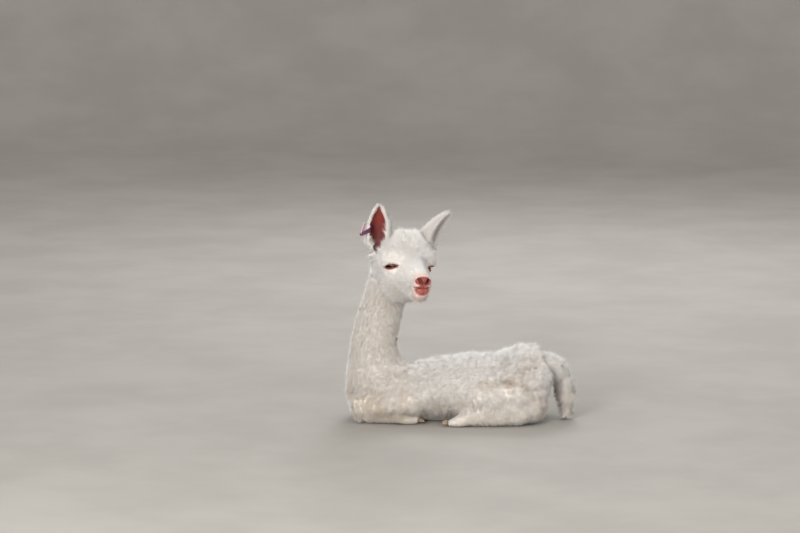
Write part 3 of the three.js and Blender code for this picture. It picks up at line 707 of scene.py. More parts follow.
class Eye(Frame):
    """The middle of an eyeball, with a along the opening to the nose, b up and c out."""

    def __init__(self, name, side):
        self.name = name
        forward, right, up = HEAD.axes
        turn = math.radians(EYE_TURN)
        out = unit(math.cos(turn) * forward + side * math.sin(turn) * right)
        to_nose = unit(math.sin(turn) * forward - side * math.cos(turn) * right)
        super().__init__(node_middle(name), (to_nose, up, out))

    def lid_local(self, x, y, z):
        """Along and up from the middle of the almond between the lids."""
        a, b, _ = self.local(x, y, z)
        return a - LID_SHIFT, b - LID_RAISE[self.name]


EYES = [Eye("eye_left", -1), Eye("eye_right", 1)]


def tear_spot(a, b):
    """Distance from the wet corner towards the nose, in its own radii."""
    return np.sqrt(((a - TEAR_PLACE[0]) / TEAR_RADII[0]) ** 2
                   + ((b - TEAR_PLACE[1]) / TEAR_RADII[1]) ** 2)


def lid_gap(a, b):
    """Distance outside the almond between the lids, negative between them."""
    bow = 1.0 - (a / LID_HALF_LENGTH) ** 2
    return np.maximum(b - LID_UPPER * bow, -b - LID_LOWER * bow)


def thinned_at_eyes(depth, axes):
    """The coat's depth, less round each eye."""
    for eye in EYES:
        near = np.sqrt(sum(part ** 2 for part in eye.local(*axes)))
        share = rising(near, EYE_RADIUS + 2.0, EYE_RADIUS + 12.0)
        depth = EYE_COAT + (depth - EYE_COAT) * share
    return depth


# ---------------------------------------- ears
def ear_lean(place, radius):
    """How far the ear's axis bends towards its opening."""
    return EAR_CURL * place ** 3 + 0.25 * radius


def ear_shape(share):
    """Radius, half angle and thickness of the ear at a share of its length."""
    sections = np.array(EAR_SECTIONS)
    return [np.interp(share, sections[:, 0], sections[:, n]) for n in (1, 2, 3)]


def ear_mesh(ear):
    """The bare ear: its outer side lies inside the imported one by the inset, its edges too."""
    rows, around = 49, 33
    share = np.linspace(0.0, 1.0, rows) ** 0.9
    radius, half, thick = ear_shape(share)
    half = np.minimum(half, EAR_OPEN)
    lean = ear_lean(share, radius)
    radius = radius * (EAR_ROOT_SHARE + (1.0 - EAR_ROOT_SHARE) * rising(share, 0.0, 0.3))
    turn = np.linspace(-1.0, 1.0, around)
    angle = np.pi + np.radians((half - np.degrees(EAR_INSET / radius))[:, None] * turn)
    outer = np.maximum(radius - EAR_INSET, 2.0)
    inner = np.maximum(outer - np.maximum(2.6, 0.42 * thick), 0.4)
    height = np.repeat((share * (EAR_LENGTH - 1.2 * EAR_INSET))[:, None], around, axis=1)
    rings = []
    for ring, order in ((outer, slice(None)), (inner, slice(None, None, -1))):
        x = lean[:, None] + ring[:, None] * np.cos(angle[:, order])
        y = ring[:, None] * np.sin(angle[:, order])
        rings.append(np.stack([x, y, height], axis=-1))
    sheet = np.concatenate(rings, axis=1)
    size = 2 * around
    triangles = [tube(rows, size)]
    n = np.arange(around - 1)
    ends = np.stack([n, n + 1, size - 2 - n, size - 1 - n], 1)
    for quad in (ends[:, ::-1], ends + (rows - 1) * size):
        triangles += [quad[:, [0, 1, 2]], quad[:, [0, 2, 3]]]
    return ear.point(*[sheet[..., n].ravel() for n in range(3)]), np.concatenate(triangles)


# ---------------------------------------- the skin
def head_depth(forward, side, up):
    """Depth of the coat on the head: thin on the face, thick on the crown, cheeks and nape."""
    crown = rising(up, 1.6, 4.2) * falling(forward, 0.2, 3.0)
    nape = falling(forward, -6.0, -1.5)
    cheek = falling(up, -5.6, -2.0) * falling(forward, 2.5, 6.0)
    muzzle = rising(forward, 4.8, 7.2)
    depth = 3.6 + 5.0 * crown + 4.0 * nape * (1.0 - crown) + 3.0 * cheek * (1.0 - nape)
    depth = np.minimum(depth, 8.6) * (1.0 - muzzle) + 1.7 * muzzle
    chin = rising(-up, 4.7, 5.6) * rising(forward, 3.0, 5.0)
    return depth + (4.8 - depth) * chin


def nose_places(local):
    """Head coordinates from the nose's own middle line, with the side always positive."""
    return local[0], np.abs(local[1] - NOSE_ASIDE), local[2]


def nostril_distance(mirrored):
    """The comma of a nostril."""
    foot = capsule(mirrored, NOSTRIL[0], NOSTRIL[1], NOSTRIL_RADII[0])
    return union(foot, capsule(mirrored, NOSTRIL[1], NOSTRIL[2], NOSTRIL_RADII[1]), 1.5)


def mouth_distance(side, up):
    return (up - MOUTH_LEVEL + MOUTH_BOW * side ** 2) * HEAD_UNIT


def sculpt_muzzle(skin, mirrored):
    """Nose pad, lips and chin, then the nostrils, the mouth and the cleft of the upper lip."""
    forward, side, up = mirrored
    for middle, radii, fillet in MUZZLE_FORMS:
        skin = union(skin, ellipsoid(mirrored, middle, radii), fillet)
    skin = carve(skin, nostril_distance(mirrored), 1.6)
    skin = union(skin, capsule(mirrored, *NOSTRIL_WING), 2.5)
    skin = skin + 1.7 * rising(forward, 5.0, 6.4) * bell(mouth_distance(side, up), 1.6)
    front = rising(forward, 7.0, 7.8) * rising(up, -4.1, -3.9) * falling(up, -2.7, -2.2)
    return skin + 1.7 * front * bell(side * HEAD_UNIT, 1.3)


def sculpt_eyes(skin, axes):
    """Lids round each eyeball, the folds above and below and the wet corner by the nose."""
    for eye in EYES:
        a, b, c = eye.local(*axes)
        ball = np.sqrt(a * a + b * b + c * c)
        skin = union(skin, ball - EYE_RADIUS - LID_THICKNESS, 5.0)
        front = np.where(c > 0.0, bell(ball - EYE_RADIUS, 7.0), 0.0)
        a, b = eye.lid_local(*axes)
        gap = lid_gap(a, b)
        arch = 1.0 - (a / 24.0) ** 2
        for fold, depth, reach in ((b - (LID_UPPER + 4.4) * arch, 1.3, 1.6),
                                   (-b - (LID_LOWER + 4.8) * arch, 0.8, 1.8)):
            skin = skin + depth * front * bell(fold, reach) * (np.abs(a) < 20.0)
        skin = skin - 0.8 * front * bell(gap - 1.2, 1.3)
        skin = skin + 2.0 * front * bell(tear_spot(a, b), 1.0)
        skin = carve(skin, np.maximum(gap, 4.0 - c), 0.9)
    return skin


def sculpt_ear(skin, grid, ear):
    skin = union(skin, grid.distance([ear_mesh(ear)], 8.0), 6.0)
    middle, radii = EAR_HOLLOW
    parts = [(part - middle[n]) / radii[n] for n, part in enumerate(ear.local(*grid.axes()))]
    well = np.sqrt(sum(part ** 2 for part in parts))
    return carve(skin, (well - 1.0) * radii[1], 2.0)


def sculpt_head(grid, closed, seam):
    """The skin of head, ears and upper neck."""
    axes = grid.axes()
    local = forward, right, up = HEAD.local(*axes)
    side = np.abs(right)
    outline = grid.distance([closed], 26.0) + CLOSING
    sharp = grid.smoothed(outline, HEAD_SOFTNESS)
    soft = grid.smoothed(sharp, math.sqrt(BODY_SOFTNESS ** 2 - HEAD_SOFTNESS ** 2))
    headness = falling(grid.distance([node_mesh("head")], 14.0), 0.0, 12.0)
    headness *= rising(axes[2], seam + 4.0, seam + 20.0)
    neck = COAT_DEPTH["neck"]
    depth = neck + (head_depth(forward, side, up) - neck) * headness
    depth = depth + NOSE_SLACK * rising(forward, 7.2, 8.8)
    depth = thinned_at_eyes(depth, axes)
    lumps = grid.lumps(HEAD_LUMP_SIZE, SEED + 1) * np.clip((depth - 3.0) / 5.0, 0.25, 1.0)
    skin = soft + (sharp - soft) * headness + depth + lumps * HEAD_LUMP_HEIGHT * headness
    skin = union(skin, ellipsoid((forward, side, up), *BROW_FLEECE), BROW_FILLET)
    skin = sculpt_muzzle(skin, nose_places(local))
    skin = sculpt_eyes(skin, axes)
    for ear in EARS:
        skin = sculpt_ear(skin, grid, ear)
    return skin


def blend_of(distances, values):
    """A value that changes softly from region to region."""
    total = weight = 0.0
    for name, value in values.items():
        share = np.exp(-np.clip(distances[name], -6.0, 30.0) / REGION_BLEND)
        total = total + share * value
        weight = weight + share
    return total / weight


def sculpt_body(grid, closed, distances):
    """The skin below the head, with the flanks' creases and the lumps of the fleece."""
    outline = grid.smoothed(grid.distance([closed], 30.0) + CLOSING, BODY_SOFTNESS)
    x, y, z = grid.axes()
    aside = y - node_middle("trunk")[1]
    depth = blend_of(distances, COAT_DEPTH)
    depth = depth * (0.3 + 0.7 * rising(z, 1.0, 24.0))
    forms = sum(deep * bell(route_gap(x, z, route), reach) for route, reach, deep in FLANK_FORMS)
    depth = depth + forms * rising(np.abs(aside), 36.0, 62.0)
    lumps = grid.lumps(LUMP_SIZE, SEED) * blend_of(distances, LUMP_HEIGHT)
    rump = np.sqrt(route_gap(x, z, RUMP_ROUTE) ** 2 + aside ** 2) - RUMP_RADIUS
    return union(outline + depth, rump, RUMP_FILLET) + lumps * rising(z, 4.0, 30.0)


class Surroundings:
    """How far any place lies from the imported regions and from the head."""

    def __init__(self, grid, seam):
        self.grid, self.seam = grid, seam
        self.fields = {name: grid.distance([node_mesh(node) for node in nodes], 30.0)
                       for name, nodes in REGIONS.items()}
        head = node_mesh("head")
        low, high = head[0].min(axis=0) - 20.0, head[0].max(axis=0) + 20.0
        self.head_grid = Grid(low, high, NEAR_HEAD_PITCH)
        self.head_field = self.head_grid.distance([head], 20.0)

    def regions(self, places):
        return {name: self.grid.sample(field, places) for name, field in self.fields.items()}

    def head(self, places):
        return self.head_grid.sample(self.head_field, places)


# ---------------------------------------- mesh objects
def mesh_object(name, points, triangles, material=None):
    """A mesh object from places in millimetres."""
    mesh = bpy.data.meshes.new(name)
    mesh.vertices.add(len(points))
    mesh.vertices.foreach_set("co", (np.asarray(points) * MM).astype(np.float32).ravel())
    mesh.loops.add(len(triangles) * 3)
    mesh.loops.foreach_set("vertex_index", np.asarray(triangles).astype(np.int32).ravel())
    mesh.polygons.add(len(triangles))
    mesh.polygons.foreach_set("loop_start", np.arange(0, len(triangles) * 3, 3, dtype=np.int32))
    mesh.update(calc_edges=True)
    mesh.shade_smooth()
    if material:
        mesh.materials.append(material)
    return add_to_scene(name, mesh)


def add_attribute(mesh, name, values):
    layer = mesh.attributes.new(name, "FLOAT", "POINT")
    layer.data.foreach_set("value", np.asarray(values, np.float32))


def slab(name, low, high):
    """A box over the whole animal between two heights, to cut with."""
    reach = 600.0
    corners = [(x, y, z) for x in (-reach, reach) for y in (-reach, reach) for z in (low, high)]
    faces = [(0, 1, 3), (0, 3, 2), (4, 6, 7), (4, 7, 5), (0, 4, 5), (0, 5, 1),
             (2, 3, 7), (2, 7, 6), (0, 2, 6), (0, 6, 4), (1, 5, 7), (1, 7, 3)]
    return mesh_object(name, np.array(corners), np.array(faces))


def combine(target, other, operation):
    """Joins or cuts with another object, which is used up."""
    modifier = target.modifiers.new(operation, "BOOLEAN")
    modifier.operation = operation
    modifier.solver = "MANIFOLD"
    modifier.object = other
    scene_graph = bpy.context.evaluated_depsgraph_get()
    result = bpy.data.meshes.new_from_object(target.evaluated_get(scene_graph))
    target.modifiers.clear()
    target.data = result
    bpy.data.objects.remove(other)


def build_skin():
    """The skin in one piece, and what surrounds it."""
    flesh = [node_mesh(node) for nodes in REGIONS.values() for node in nodes]
    points, _ = joined(flesh)
    low, high = points.min(axis=0), points.max(axis=0)
    whole = Grid(low - 8.0, high + 8.0, WHOLE_PITCH)
    closed = largest_part(*whole.surface(whole.distance(flesh, 6.0) - CLOSING))

    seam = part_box("head")[0].z / MM - SEAM_DROP
    body_grid = Grid(low - 6.0, [high[0] + 6.0, high[1] + 6.0, seam + 40.0], BODY_PITCH)
    around = Surroundings(body_grid, seam)
    body_field = sculpt_body(body_grid, closed, around.fields)
    capped = np.maximum(body_field, body_grid.axes()[2] - seam - 20.0)
    body_mesh = largest_part(*body_grid.surface(capped))

    upper_points, _ = joined([node_mesh(node) for node in EAR_NODES + ["head"]])
    low, high = upper_points.min(axis=0), upper_points.max(axis=0)
    neck_edge = -225.0
    head_grid = Grid([min(low[0], neck_edge) - 6.0, low[1] - 6.0, seam - 26.0], high + 6.0,
                     HEAD_PITCH)
    head_field = sculpt_head(head_grid, closed, seam)
    capped = np.maximum(head_field, seam - 14.0 - head_grid.axes()[2])
    head_mesh = largest_part(*head_grid.surface(capped))

    skin = mesh_object("skin", *body_mesh)
    combine(skin, slab("below", -50.0, seam + SEAM_OVERLAP), "INTERSECT")
    upper = mesh_object("upper", *head_mesh)
    combine(upper, slab("above", seam, 700.0), "INTERSECT")
    combine(skin, upper, "UNION")
    skin.data.shade_smooth()
    return skin, around


# ---------------------------------------- markings
def ear_masks(places, normals):
    """Which places are on an ear, how red its hollow is there and how far along it they are."""
    on_ear, inside, along = np.zeros((3, len(places)))
    for ear in EARS:
        x, y, z = ear.local(*places.T)
        share = np.clip(z / EAR_LENGTH, 0.0, 1.0)
        radius, half, _ = ear_shape(share)
        offset = x - ear_lean(share, radius)
        spoke = np.sqrt(offset ** 2 + y ** 2) + 1e-6
        near = (spoke < radius + 6.0) * (z < EAR_LENGTH + 8.0)
        here = rising(z, 14.0, 24.0) * near
        away = (normals @ ear.axes[0] * offset + normals @ ear.axes[1] * y) / spoke
        turn = np.degrees(np.abs(np.arctan2(y, -offset)))
        narrow = 0.5 * rising(share, 0.55, 0.95) + 0.45 * falling(share, 0.06, 0.32)
        middle = falling(turn / half + narrow, 0.78, 0.98)
        inner = rising(z, 3.0, 12.0) * near * rising(-away, -0.15, 0.35) * middle
        inner = inner * (spoke < radius - 1.0) * ear.blush
        on_ear = np.maximum(on_ear, here)
        inside = np.maximum(inside, inner)
        along = np.where(here > 0, share, along)
    return on_ear, inside, along


def eye_masks(places):
    """The bare lids with the wet corner, and the halo of blush round them."""
    lids, halo = np.zeros((2, len(places)))
    for eye in EYES:
        a, b, c = eye.local(*places.T)
        ball = np.sqrt(a * a + b * b + c * c)
        near = (c > -6.0) * falling(ball, EYE_RADIUS + 6.0, EYE_RADIUS + 13.0)
        a, b = eye.lid_local(*places.T)
        gap = lid_gap(a, b)
        bare = np.maximum(falling(gap, 2.6, 5.2), falling(tear_spot(a, b), 0.7, 1.25))
        lids = np.maximum(lids, near * bare)
        halo = np.maximum(halo, near * falling(gap, 3.0, 12.0))
    return lids, halo


def markings(places, normals):
    """Bare skin, its redness and its darkest parts, which are painted shade in the nostrils, along
    the mouth, at the lid edges and deep in the ears, the blush through the coat, and its soiling,
    with painted shade in the flank creases and on the throat.
    """
    mirrored = nose_places(HEAD.local(*places.T))
    forward, side, up = mirrored
    pad, lips = ellipsoid(mirrored, *BARE_PAD), ellipsoid(mirrored, *BARE_LIPS)
    nose = np.minimum(pad, lips)
    nostril = nostril_distance(mirrored)
    muzzle = np.maximum(falling(pad, -3.0, 2.4), falling(lips, -5.0, 2.6))
    mouth = bell(mouth_distance(side, up), 1.7) * rising(forward, 5.9, 7.0)
    dark = falling(nostril, -0.8, 1.2)
    lids, halo = eye_masks(places)
    on_ear, inside, along = ear_masks(places, normals)
    # Painted shade along the flank creases and on the throat, and soiling that grows towards the
    # ground
    creases = sum(bell(route_gap(places[:, 0], places[:, 2], route), 1.5 * reach)
                  for route, reach, rise in FLANK_FORMS if rise > 0)
    throat = falling(places[:, 2], 290.0, 360.0) * falling(places[:, 0], -150.0, -80.0)
    ground = falling(places[:, 2], 10.0, 130.0)
    return {
        "bare": np.maximum.reduce([muzzle, 0.8 * mouth, lids, inside]),
        # deep: painted shade in the nostrils, along the mouth, at the lid edges and low in the ear
        # hollows
        "deep": np.maximum.reduce([dark, 0.3 * mouth, 0.1 * lids,
                                   0.55 * inside * falling(along, 0.3, 0.75)]),
        "flush": np.maximum.reduce([mouth, dark, lids, inside, 0.85 * bell(nose + 2.0, 2.6),
                                    0.9 * falling(nostril, 0.5, 5.0),
                                    np.full(len(places), 0.35)]),
        "blush": np.maximum.reduce([0.6 * falling(nose, -2.0, 18.0), 0.1 * on_ear,
                                    0.45 * halo]),
        "soil": np.minimum(0.35 * throat + 0.45 * ground + 0.5 * creases, 0.8),
    }


# ---------------------------------------- eyes, lashes, nails and tag
def build_eye(eye):
    """An eyeball with a raised clear front, a level pupil and a dark iris."""
    rings, around = 40, 64
    tilt = np.linspace(0.0, math.pi, rings + 1)[1:-1]
    turn = np.arange(around) * 2.0 * math.pi / around
    front = np.array([[0.0, 0.0, 1.0]])
    middle = np.stack([np.outer(np.sin(tilt), np.cos(turn)), np.outer(np.sin(tilt), np.sin(turn)),
                       np.repeat(np.cos(tilt)[:, None], around, axis=1)], axis=-1)
    way = np.concatenate([front, middle.reshape(-1, 3), -front])
    off_axis = np.degrees(np.arccos(np.clip(way[:, 2], -1.0, 1.0)))
    cornea = CORNEA_RISE * falling(off_axis, 20.0, 44.0)
    place = way * (EYE_RADIUS - 0.15 + cornea)[:, None]
    n = np.arange(around)
    after = (n + 1) % around
    base = 1 + (rings - 2) * around
    triangles = np.concatenate([
        np.stack([np.zeros_like(n), 1 + n, 1 + after], 1), 1 + tube(rings - 1, around)[:, ::-1],
        np.stack([base + n, np.full_like(n, len(way) - 1), base + after], 1)])
    made = mesh_object(eye.name.replace("eye", "eyeball"), eye.point(*place.T), triangles,
                       eye_material())
    off_pupil = np.hypot(way[:, 0] / PUPIL_LENGTH, way[:, 1] / PUPIL_HEIGHT)
    add_attribute(made.data, "pupil", falling(off_pupil, 0.8, 1.1))
    add_attribute(made.data, "white", rising(off_axis, 47.0, 56.0))
    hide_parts(eye.name)
    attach(made, "root")


def strands(paths, widths, across, above):
    """Closed three-sided strands: paths is (strands, steps, 3), each ending in a point.

    Returns the points, the triangles and the number of points in a strand."""
    count, steps, _ = paths.shape
    rings = paths[:, :-1]
    half = widths[..., None] * 0.5
    body = np.stack([rings - across * half, rings + across * half, rings + above * half * 1.1],
                    axis=2).reshape(count, (steps - 1) * 3, 3)
    points = np.concatenate([body, paths[:, -1:]], axis=1).reshape(-1, 3)
    tip = (steps - 1) * 3
    size = tip + 1
    a, b, c = tip - 3, tip - 2, tip - 1
    faces = np.concatenate([[(0, 2, 1)], tube(steps - 1, 3),
                            [(a, b, tip), (b, c, tip), (c, a, tip)]])
    triangles = (np.arange(count)[:, None, None] * size + faces).reshape(-1, 3)
    return points, facing_out(points, triangles), size


def build_lashes(eye, rng):
    """White lashes along the upper lid, longest in the middle, and a few on the lower one."""
    a = np.linspace(-14.0, 12.0, LASHES) + rng.normal(0.0, 0.35, LASHES)
    upper = np.arange(LASHES) % 5 != 0
    bow = 1.0 - (a / LID_HALF_LENGTH) ** 2
    a = a + LID_SHIFT
    b = LID_RAISE[eye.name] + np.where(upper, LID_UPPER + 0.3, -LID_LOWER - 0.3) * bow
    c = np.sqrt(np.maximum((EYE_RADIUS + 1.3) ** 2 - a ** 2 - b ** 2, 4.0))
    reach = np.where(upper, *LASH_LENGTH) * (0.6 + 0.4 * bow) * rng.uniform(0.8, 1.1, LASHES)
    lean = a / 30.0 + rng.normal(0.0, 0.1, LASHES) - 0.12
    share = np.linspace(0.0, 1.0, LASH_STEPS)[None, :]
    droop = np.where(upper, 0.34, 0.1)[:, None]
    a, b, c, reach, lean = (values[:, None] for values in (a, b, c, reach, lean))
    paths = eye.point(a + lean * reach * share,
                      b + reach * (0.1 * share ** 2 - droop * share), c - 1.2 + reach * share)
    widths = np.repeat(LASH_WIDTH * (1.0 - 0.75 * share[:, :-1]), LASHES, axis=0)
    along, up, _ = eye.axes
    points, triangles, _ = strands(paths, widths, along, up)
    made = mesh_object(eye.name.replace("eye", "lashes"), points, triangles, lash_material())
    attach(made, "root")


def finish_hard_parts():
    """Materials for the pieces that stay as packed: nails and the ear tag, whose button carries
    the tag's painted shade and whose leaf its painted highlight.
    """
    finishes = {"nail_": nail_material(), "tag_button": tag_material("tag_shaded", SHADED_TAG_TONES),
                "tag_leaf": tag_material("tag_pale", LIT_TAG_TONES)}
    for name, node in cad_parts.items():
        for start, material in finishes.items():
            if name.startswith(start):
                node.data.materials.clear()
                node.data.materials.append(material)


# ---------------------------------------- where the coat grows
class Ground(NamedTuple):
    """The skin as the coat finds it, with a row for each triangle from lie on."""
    points: np.ndarray
    triangles: np.ndarray
    normals: np.ndarray         # at the points
    lie: np.ndarray             # the way the coat lies
    depth: np.ndarray           # and how deep it is
    marks: dict
    chart: np.ndarray           # the corners' places on the skin's unwrap


def head_lie(places):
    """Back over the face and cheeks, up to the crown, and down the nape."""
    forward, side, up = HEAD.local(*places.T)
    rise = 0.75 * rising(up, -1.0, 2.5) - 0.7 * falling(up, -4.0, -1.0)
    rise = rise * rising(forward, -3.5, 0.5) - 1.1 * falling(forward, -5.0, -2.5)
    outward = 0.35 * np.sign(side) * rising(np.abs(side), 0.3, 2.0)
    ahead, right, upward = HEAD.axes
    return rise[:, None] * upward + outward[:, None] * right - ahead


def region_of(places, near, around):
    """The name of the region each place below the ears is in."""
    names = np.array(list(REGIONS))
    region = names[np.stack([near[name] for name in names]).argmin(axis=0)]
    upper = places[:, 2] > around.seam + 2.0
    region = np.where(upper | (region == "head"), "neck", region)
    return np.where(upper & (around.head(places) < 3.0), "head", region)


def coat_lie(places, near, on_ear, around):
    """The way the coat lies at each place."""
    lie = np.stack([blend_of(near, {name: way[n] for name, way in LIE.items()})
                    for n in range(3)], axis=1)
    headness = rising(-around.head(places), -10.0, 4.0) * (places[:, 2] > around.seam + 2.0)
    lie = lie * (1.0 - headness[:, None]) + head_lie(places) * headness[:, None]
    for ear in EARS:
        x, y, z = ear.local(*places.T)
        close = (on_ear > 0.2) & (np.abs(x) < 40.0) & (np.abs(y) < 40.0)
        share = np.clip(z / EAR_LENGTH, 0.0, 1.0)
        offset = x - ear_lean(share, ear_shape(share)[0])
        inward = offset[:, None] * ear.axes[0] + y[:, None] * ear.axes[1]
        pull = 0.6 * rising(share, 0.72, 1.0)[:, None]
        lie[close] = (ear.axes[2] - pull * unit(inward))[close]
    return lie


def coat_depth(places, region, near, around):
    """Depth of the coat over the skin at each place."""
    depth = blend_of(near, COAT_DEPTH)
    depth = depth * (0.8 + 0.2 * rising(places[:, 2], 1.0, 24.0))
    forward, side, up = HEAD.local(*places.T)
    on_head = rising(-around.head(places), -12.0, 0.0) * (places[:, 2] > around.seam)
    depth = depth + (head_depth(forward, np.abs(side), up) - depth) * on_head
    depth = thinned_at_eyes(depth, places.T)
    for ear in EARS:
        _, _, z = ear.local(*places.T)
        from_middle = np.linalg.norm(places - ear.point(0.0, 0.0, EAR_LENGTH / 2), axis=1)
        on_this = (region == "ear") & (np.abs(z - EAR_LENGTH / 2) < EAR_LENGTH / 2 + 10.0)
        on_this = on_this & (from_middle < EAR_LENGTH)
        depth = np.where(on_this, ear.coat + EAR_FRINGE * falling(z, 10.0, 60.0), depth)
    for route, reach, deep in FLANK_FORMS:
        if deep > 0:
            gap = route_gap(places[:, 0], places[:, 2], route)
            depth = depth * (1.0 - 0.25 * bell(gap, 1.3 * reach))
    return depth


def spread_codes(places, cell=6.0):
    """A number that keeps near places near, to share roots out evenly."""
    index = np.floor((places - places.min(axis=0)) / cell).astype(np.int64)
    code = np.zeros(len(places), np.int64)
    for bit in range(8):
        for axis in range(3):
            code |= ((index[:, axis] >> bit) & 1) << (3 * bit + axis)
    return code


def chart_layout(points, triangles, region, facing):
    """An unwrap of the skin: a flat chart for each region and facing, packed in rows.

    Returns the place on the map of each triangle's corners."""
    chart = np.unique(np.stack([np.unique(region, return_inverse=True)[1], facing], 1),
                      axis=0, return_inverse=True)[1].ravel()
    flat = np.zeros((len(triangles), 3, 2))
    sizes = []
    for number in range(chart.max() + 1):
        chosen = chart == number
        axis = facing[chosen][0] // 2
        keep = [n for n in range(3) if n != axis]
        corners = points[triangles[chosen]][:, :, keep]
        corners = corners - corners.reshape(-1, 2).min(axis=0)
        flat[chosen] = corners
        sizes.append(corners.reshape(-1, 2).max(axis=0))
    sizes = np.array(sizes)
    width = math.sqrt((sizes + CHART_GAP).prod(axis=1).sum()) * 1.12
    x = y = shelf = 0.0
    place = np.zeros_like(sizes)
    for number in np.argsort(-sizes[:, 1]):
        if x + sizes[number, 0] + CHART_GAP > width:
            x, y, shelf = 0.0, y + shelf, 0.0
        place[number] = (x, y)
        x += sizes[number, 0] + CHART_GAP
        shelf = max(shelf, sizes[number, 1] + CHART_GAP)
    extent = max(width, y + shelf, (place + sizes).max() + CHART_GAP)
    return 0.004 + 0.99 * (flat + place[chart][:, None, :]) / extent


# ---------------------------------------- the locks
def grow_coat(skin, around, rng):
    points, triangles = mesh_arrays(skin.data)
    middle = points[triangles].mean(axis=1)
    facing = face_directions(points, triangles)
    area = np.linalg.norm(facing, axis=1) / 2.0
    facing = unit(facing)
    near = around.regions(middle)
    on_ear, _, _ = ear_masks(middle, facing)
    region = np.where(on_ear > 0.4, "ear", region_of(middle, near, around))
    side = np.abs(facing).argmax(axis=1)
    looks = side * 2 + (facing[np.arange(len(side)), side] > 0)
    ground = Ground(points, triangles, point_normals(points, triangles),
                    coat_lie(middle, near, on_ear, around),
                    coat_depth(middle, region, near, around), markings(middle, facing),
                    chart_layout(points, triangles, region, looks))
    growing = falling(ground.marks["bare"], 0.15, 0.5) * (middle[:, 2] > 2.2)
    order = np.argsort(spread_codes(middle), kind="stable")
    wool = wool_material()
    for name, kind in KINDS.items():
        chosen = order[region[order] == name]
        weight = area[chosen] * growing[chosen]
        if name == "head":
            weight = weight / np.maximum(ground.depth[chosen], 2.0) ** 0.75
        count = int(kind.count * COAT_SHARE)
        steps = np.cumsum(weight)
        spots = (np.arange(count) + rng.uniform(0.0, 1.0, count)) / count * steps[-1]
        picked = chosen[np.minimum(np.searchsorted(steps, spots), len(chosen) - 1)]
        lay_locks(name, kind, picked, ground, wool, rng)


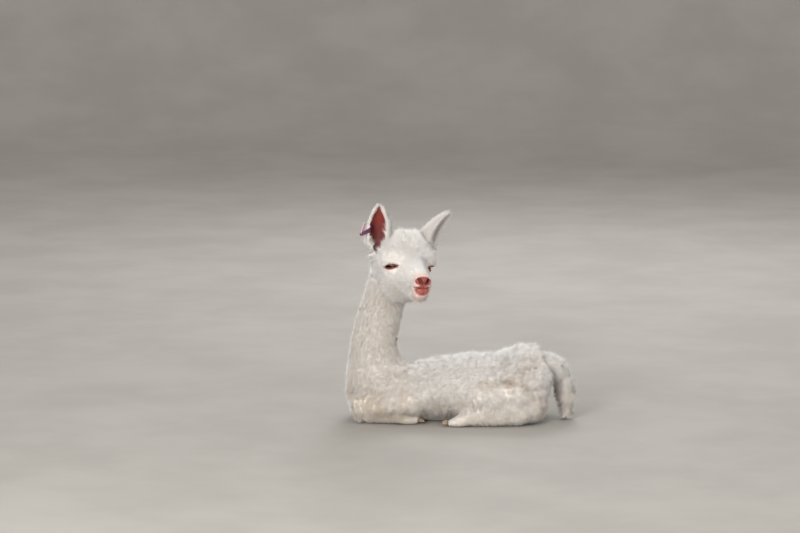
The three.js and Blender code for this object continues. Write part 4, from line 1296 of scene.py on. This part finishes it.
def lay_locks(name, kind, picked, ground, wool, rng):
    """Grows the locks of one region on the picked triangles, as one or more joined meshes."""
    count = len(picked)
    first, second = rng.uniform(0.0, 1.0, count), rng.uniform(0.0, 1.0, count)
    over = first + second > 1.0
    first[over], second[over] = 1.0 - first[over], 1.0 - second[over]
    shares = np.stack([1.0 - first - second, first, second], axis=1)

    def at_roots(corner_values):
        return np.einsum("nc,nci->ni", shares, corner_values)

    def across_normal(ways):
        return ways - normal * np.einsum("ni,ni->n", ways, normal)[:, None]

    corners = ground.triangles[picked]
    root = at_roots(ground.points[corners])
    normal = unit(at_roots(ground.normals[corners]))
    spot = at_roots(ground.chart[picked])
    height = ground.depth[picked]
    flow = across_normal(ground.lie[picked]) + rng.normal(0, 0.08, (count, 3))
    flow = unit(across_normal(flow))

    # Tufts: each lock turns, stands and is toned much as its nearest leader.
    leaders = rng.choice(count, max(count // kind.clump, 1), replace=False)
    tree = KDTree(len(leaders))
    for number, place in enumerate(root[leaders]):
        tree.insert(place, number)
    tree.balance()
    tuft = np.array([tree.find(place)[1] for place in root])
    tuft_turn = rng.normal(0.0, math.radians(kind.spread), len(leaders))
    tuft_height = rng.uniform(0.82, 1.04, len(leaders))
    turn = tuft_turn[tuft] + rng.normal(0.0, math.radians(0.4 * kind.spread), count)
    flow = flow * np.cos(turn)[:, None] + np.cross(normal, flow) * np.sin(turn)[:, None]
    aside = np.cross(normal, flow)

    stray = rng.uniform(0.0, 1.0, count) < kind.stray
    tall = height * tuft_height[tuft] * rng.uniform(0.86, 1.06, count)
    fringe = np.clip((height - 2.5) / 4.0, 0.0, 1.0) * rng.uniform(0.3, 1.0, count)
    tall = np.where(stray, tall * 1.2 + 0.6 + kind.fluff * fringe, tall)
    lift = math.radians(kind.lift) * rng.uniform(0.75, 1.25, count) * np.where(stray, 1.4, 1.0)
    long = np.maximum(tall / np.tan(lift), SHORTEST_LOCK * np.clip(height / 3.0, 0.3, 1.0))
    phase = rng.uniform(0.0, 2.0 * math.pi, count)
    sway = kind.curl * np.minimum(height / 8.0, 1.2) * (np.sin(phase + 4.4) - np.sin(phase))
    foot = root - ROOT_SINK * normal
    tip = foot + normal * tall[:, None] + flow * long[:, None] + aside * sway[:, None]
    gather = kind.attract * np.where(stray, 0.4, 1.0)
    tip = tip + (tip[leaders][tuft] - tip) * gather[:, None]
    foot[:, 2] = np.maximum(foot[:, 2], LOWEST)
    tip[:, 2] = np.maximum(tip[:, 2], LOWEST)

    tone = np.clip(0.6 * rng.uniform(0.0, 1.0, len(leaders))[tuft]
                   + 0.4 * rng.uniform(0.0, 1.0, count), 0.0, 1.0)
    freckle = 0.6 * (rng.uniform(0.0, 1.0, count) < (FRECKLED if name == "head" else 0.0))
    width = kind.width * rng.uniform(0.75, 1.25, count) * np.where(stray, 0.45, 1.0)
    if name == "head":
        width = width * np.clip(height / 6.0, 0.5, 1.3)
    way = unit(tip - foot)
    across = unit(np.cross(way, normal))
    above = np.cross(across, way)
    facing = unit(normal + SHADE_LEAN * way)
    values = {"blush": ground.marks["blush"][picked], "soil": ground.marks["soil"][picked],
              "freckle": freckle, "tone": tone}
    patch = (np.array([(0.0, 0.0), (1.0, 0.0), (0.5, 0.0), (0.5, 1.0)]) - 0.5) * PATCH

    pieces = math.ceil(count * LOCK_TRIANGLES / PIECE_TRIANGLES)
    for number in range(pieces):
        part = slice(number * count // pieces, (number + 1) * count // pieces)
        paths = np.stack([foot[part], tip[part]], axis=1)
        points, faces, size = strands(paths, width[part, None], across[part, None],
                                      above[part, None])
        piece = mesh_object(f"coat_{name}_{number + 1}", points, faces, wool)
        piece.data.normals_split_custom_set_from_vertices(np.repeat(facing[part], size, axis=0))
        add_attribute(piece.data, "tip", np.tile([0.0] * (size - 1) + [1.0], len(paths)))
        for mark, at_locks in values.items():
            add_attribute(piece.data, mark, np.repeat(at_locks[part], size))
        map_places = (spot[part][:, None] + patch).reshape(-1, 2)
        layer = piece.data.uv_layers.new(name="OFBake")
        layer.data.foreach_set("uv", map_places[faces.ravel()].astype(np.float32).ravel())
        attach(piece, "root")


# ---------------------------------------- the scene
skin, around = build_skin()
skin_points, skin_triangles = mesh_arrays(skin.data)
for mark, values in markings(skin_points, point_normals(skin_points, skin_triangles)).items():
    add_attribute(skin.data, mark, values)
skin.data.materials.clear()
skin.data.materials.append(skin_material())
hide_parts(*[node for nodes in REGIONS.values() for node in nodes], *EAR_NODES)
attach(skin, "root")

rng = np.random.default_rng(SEED)
for eye in EYES:
    build_eye(eye)
    build_lashes(eye, rng)
finish_hard_parts()
grow_coat(skin, around, rng)

add_floor()
add_camera()
add_lights()
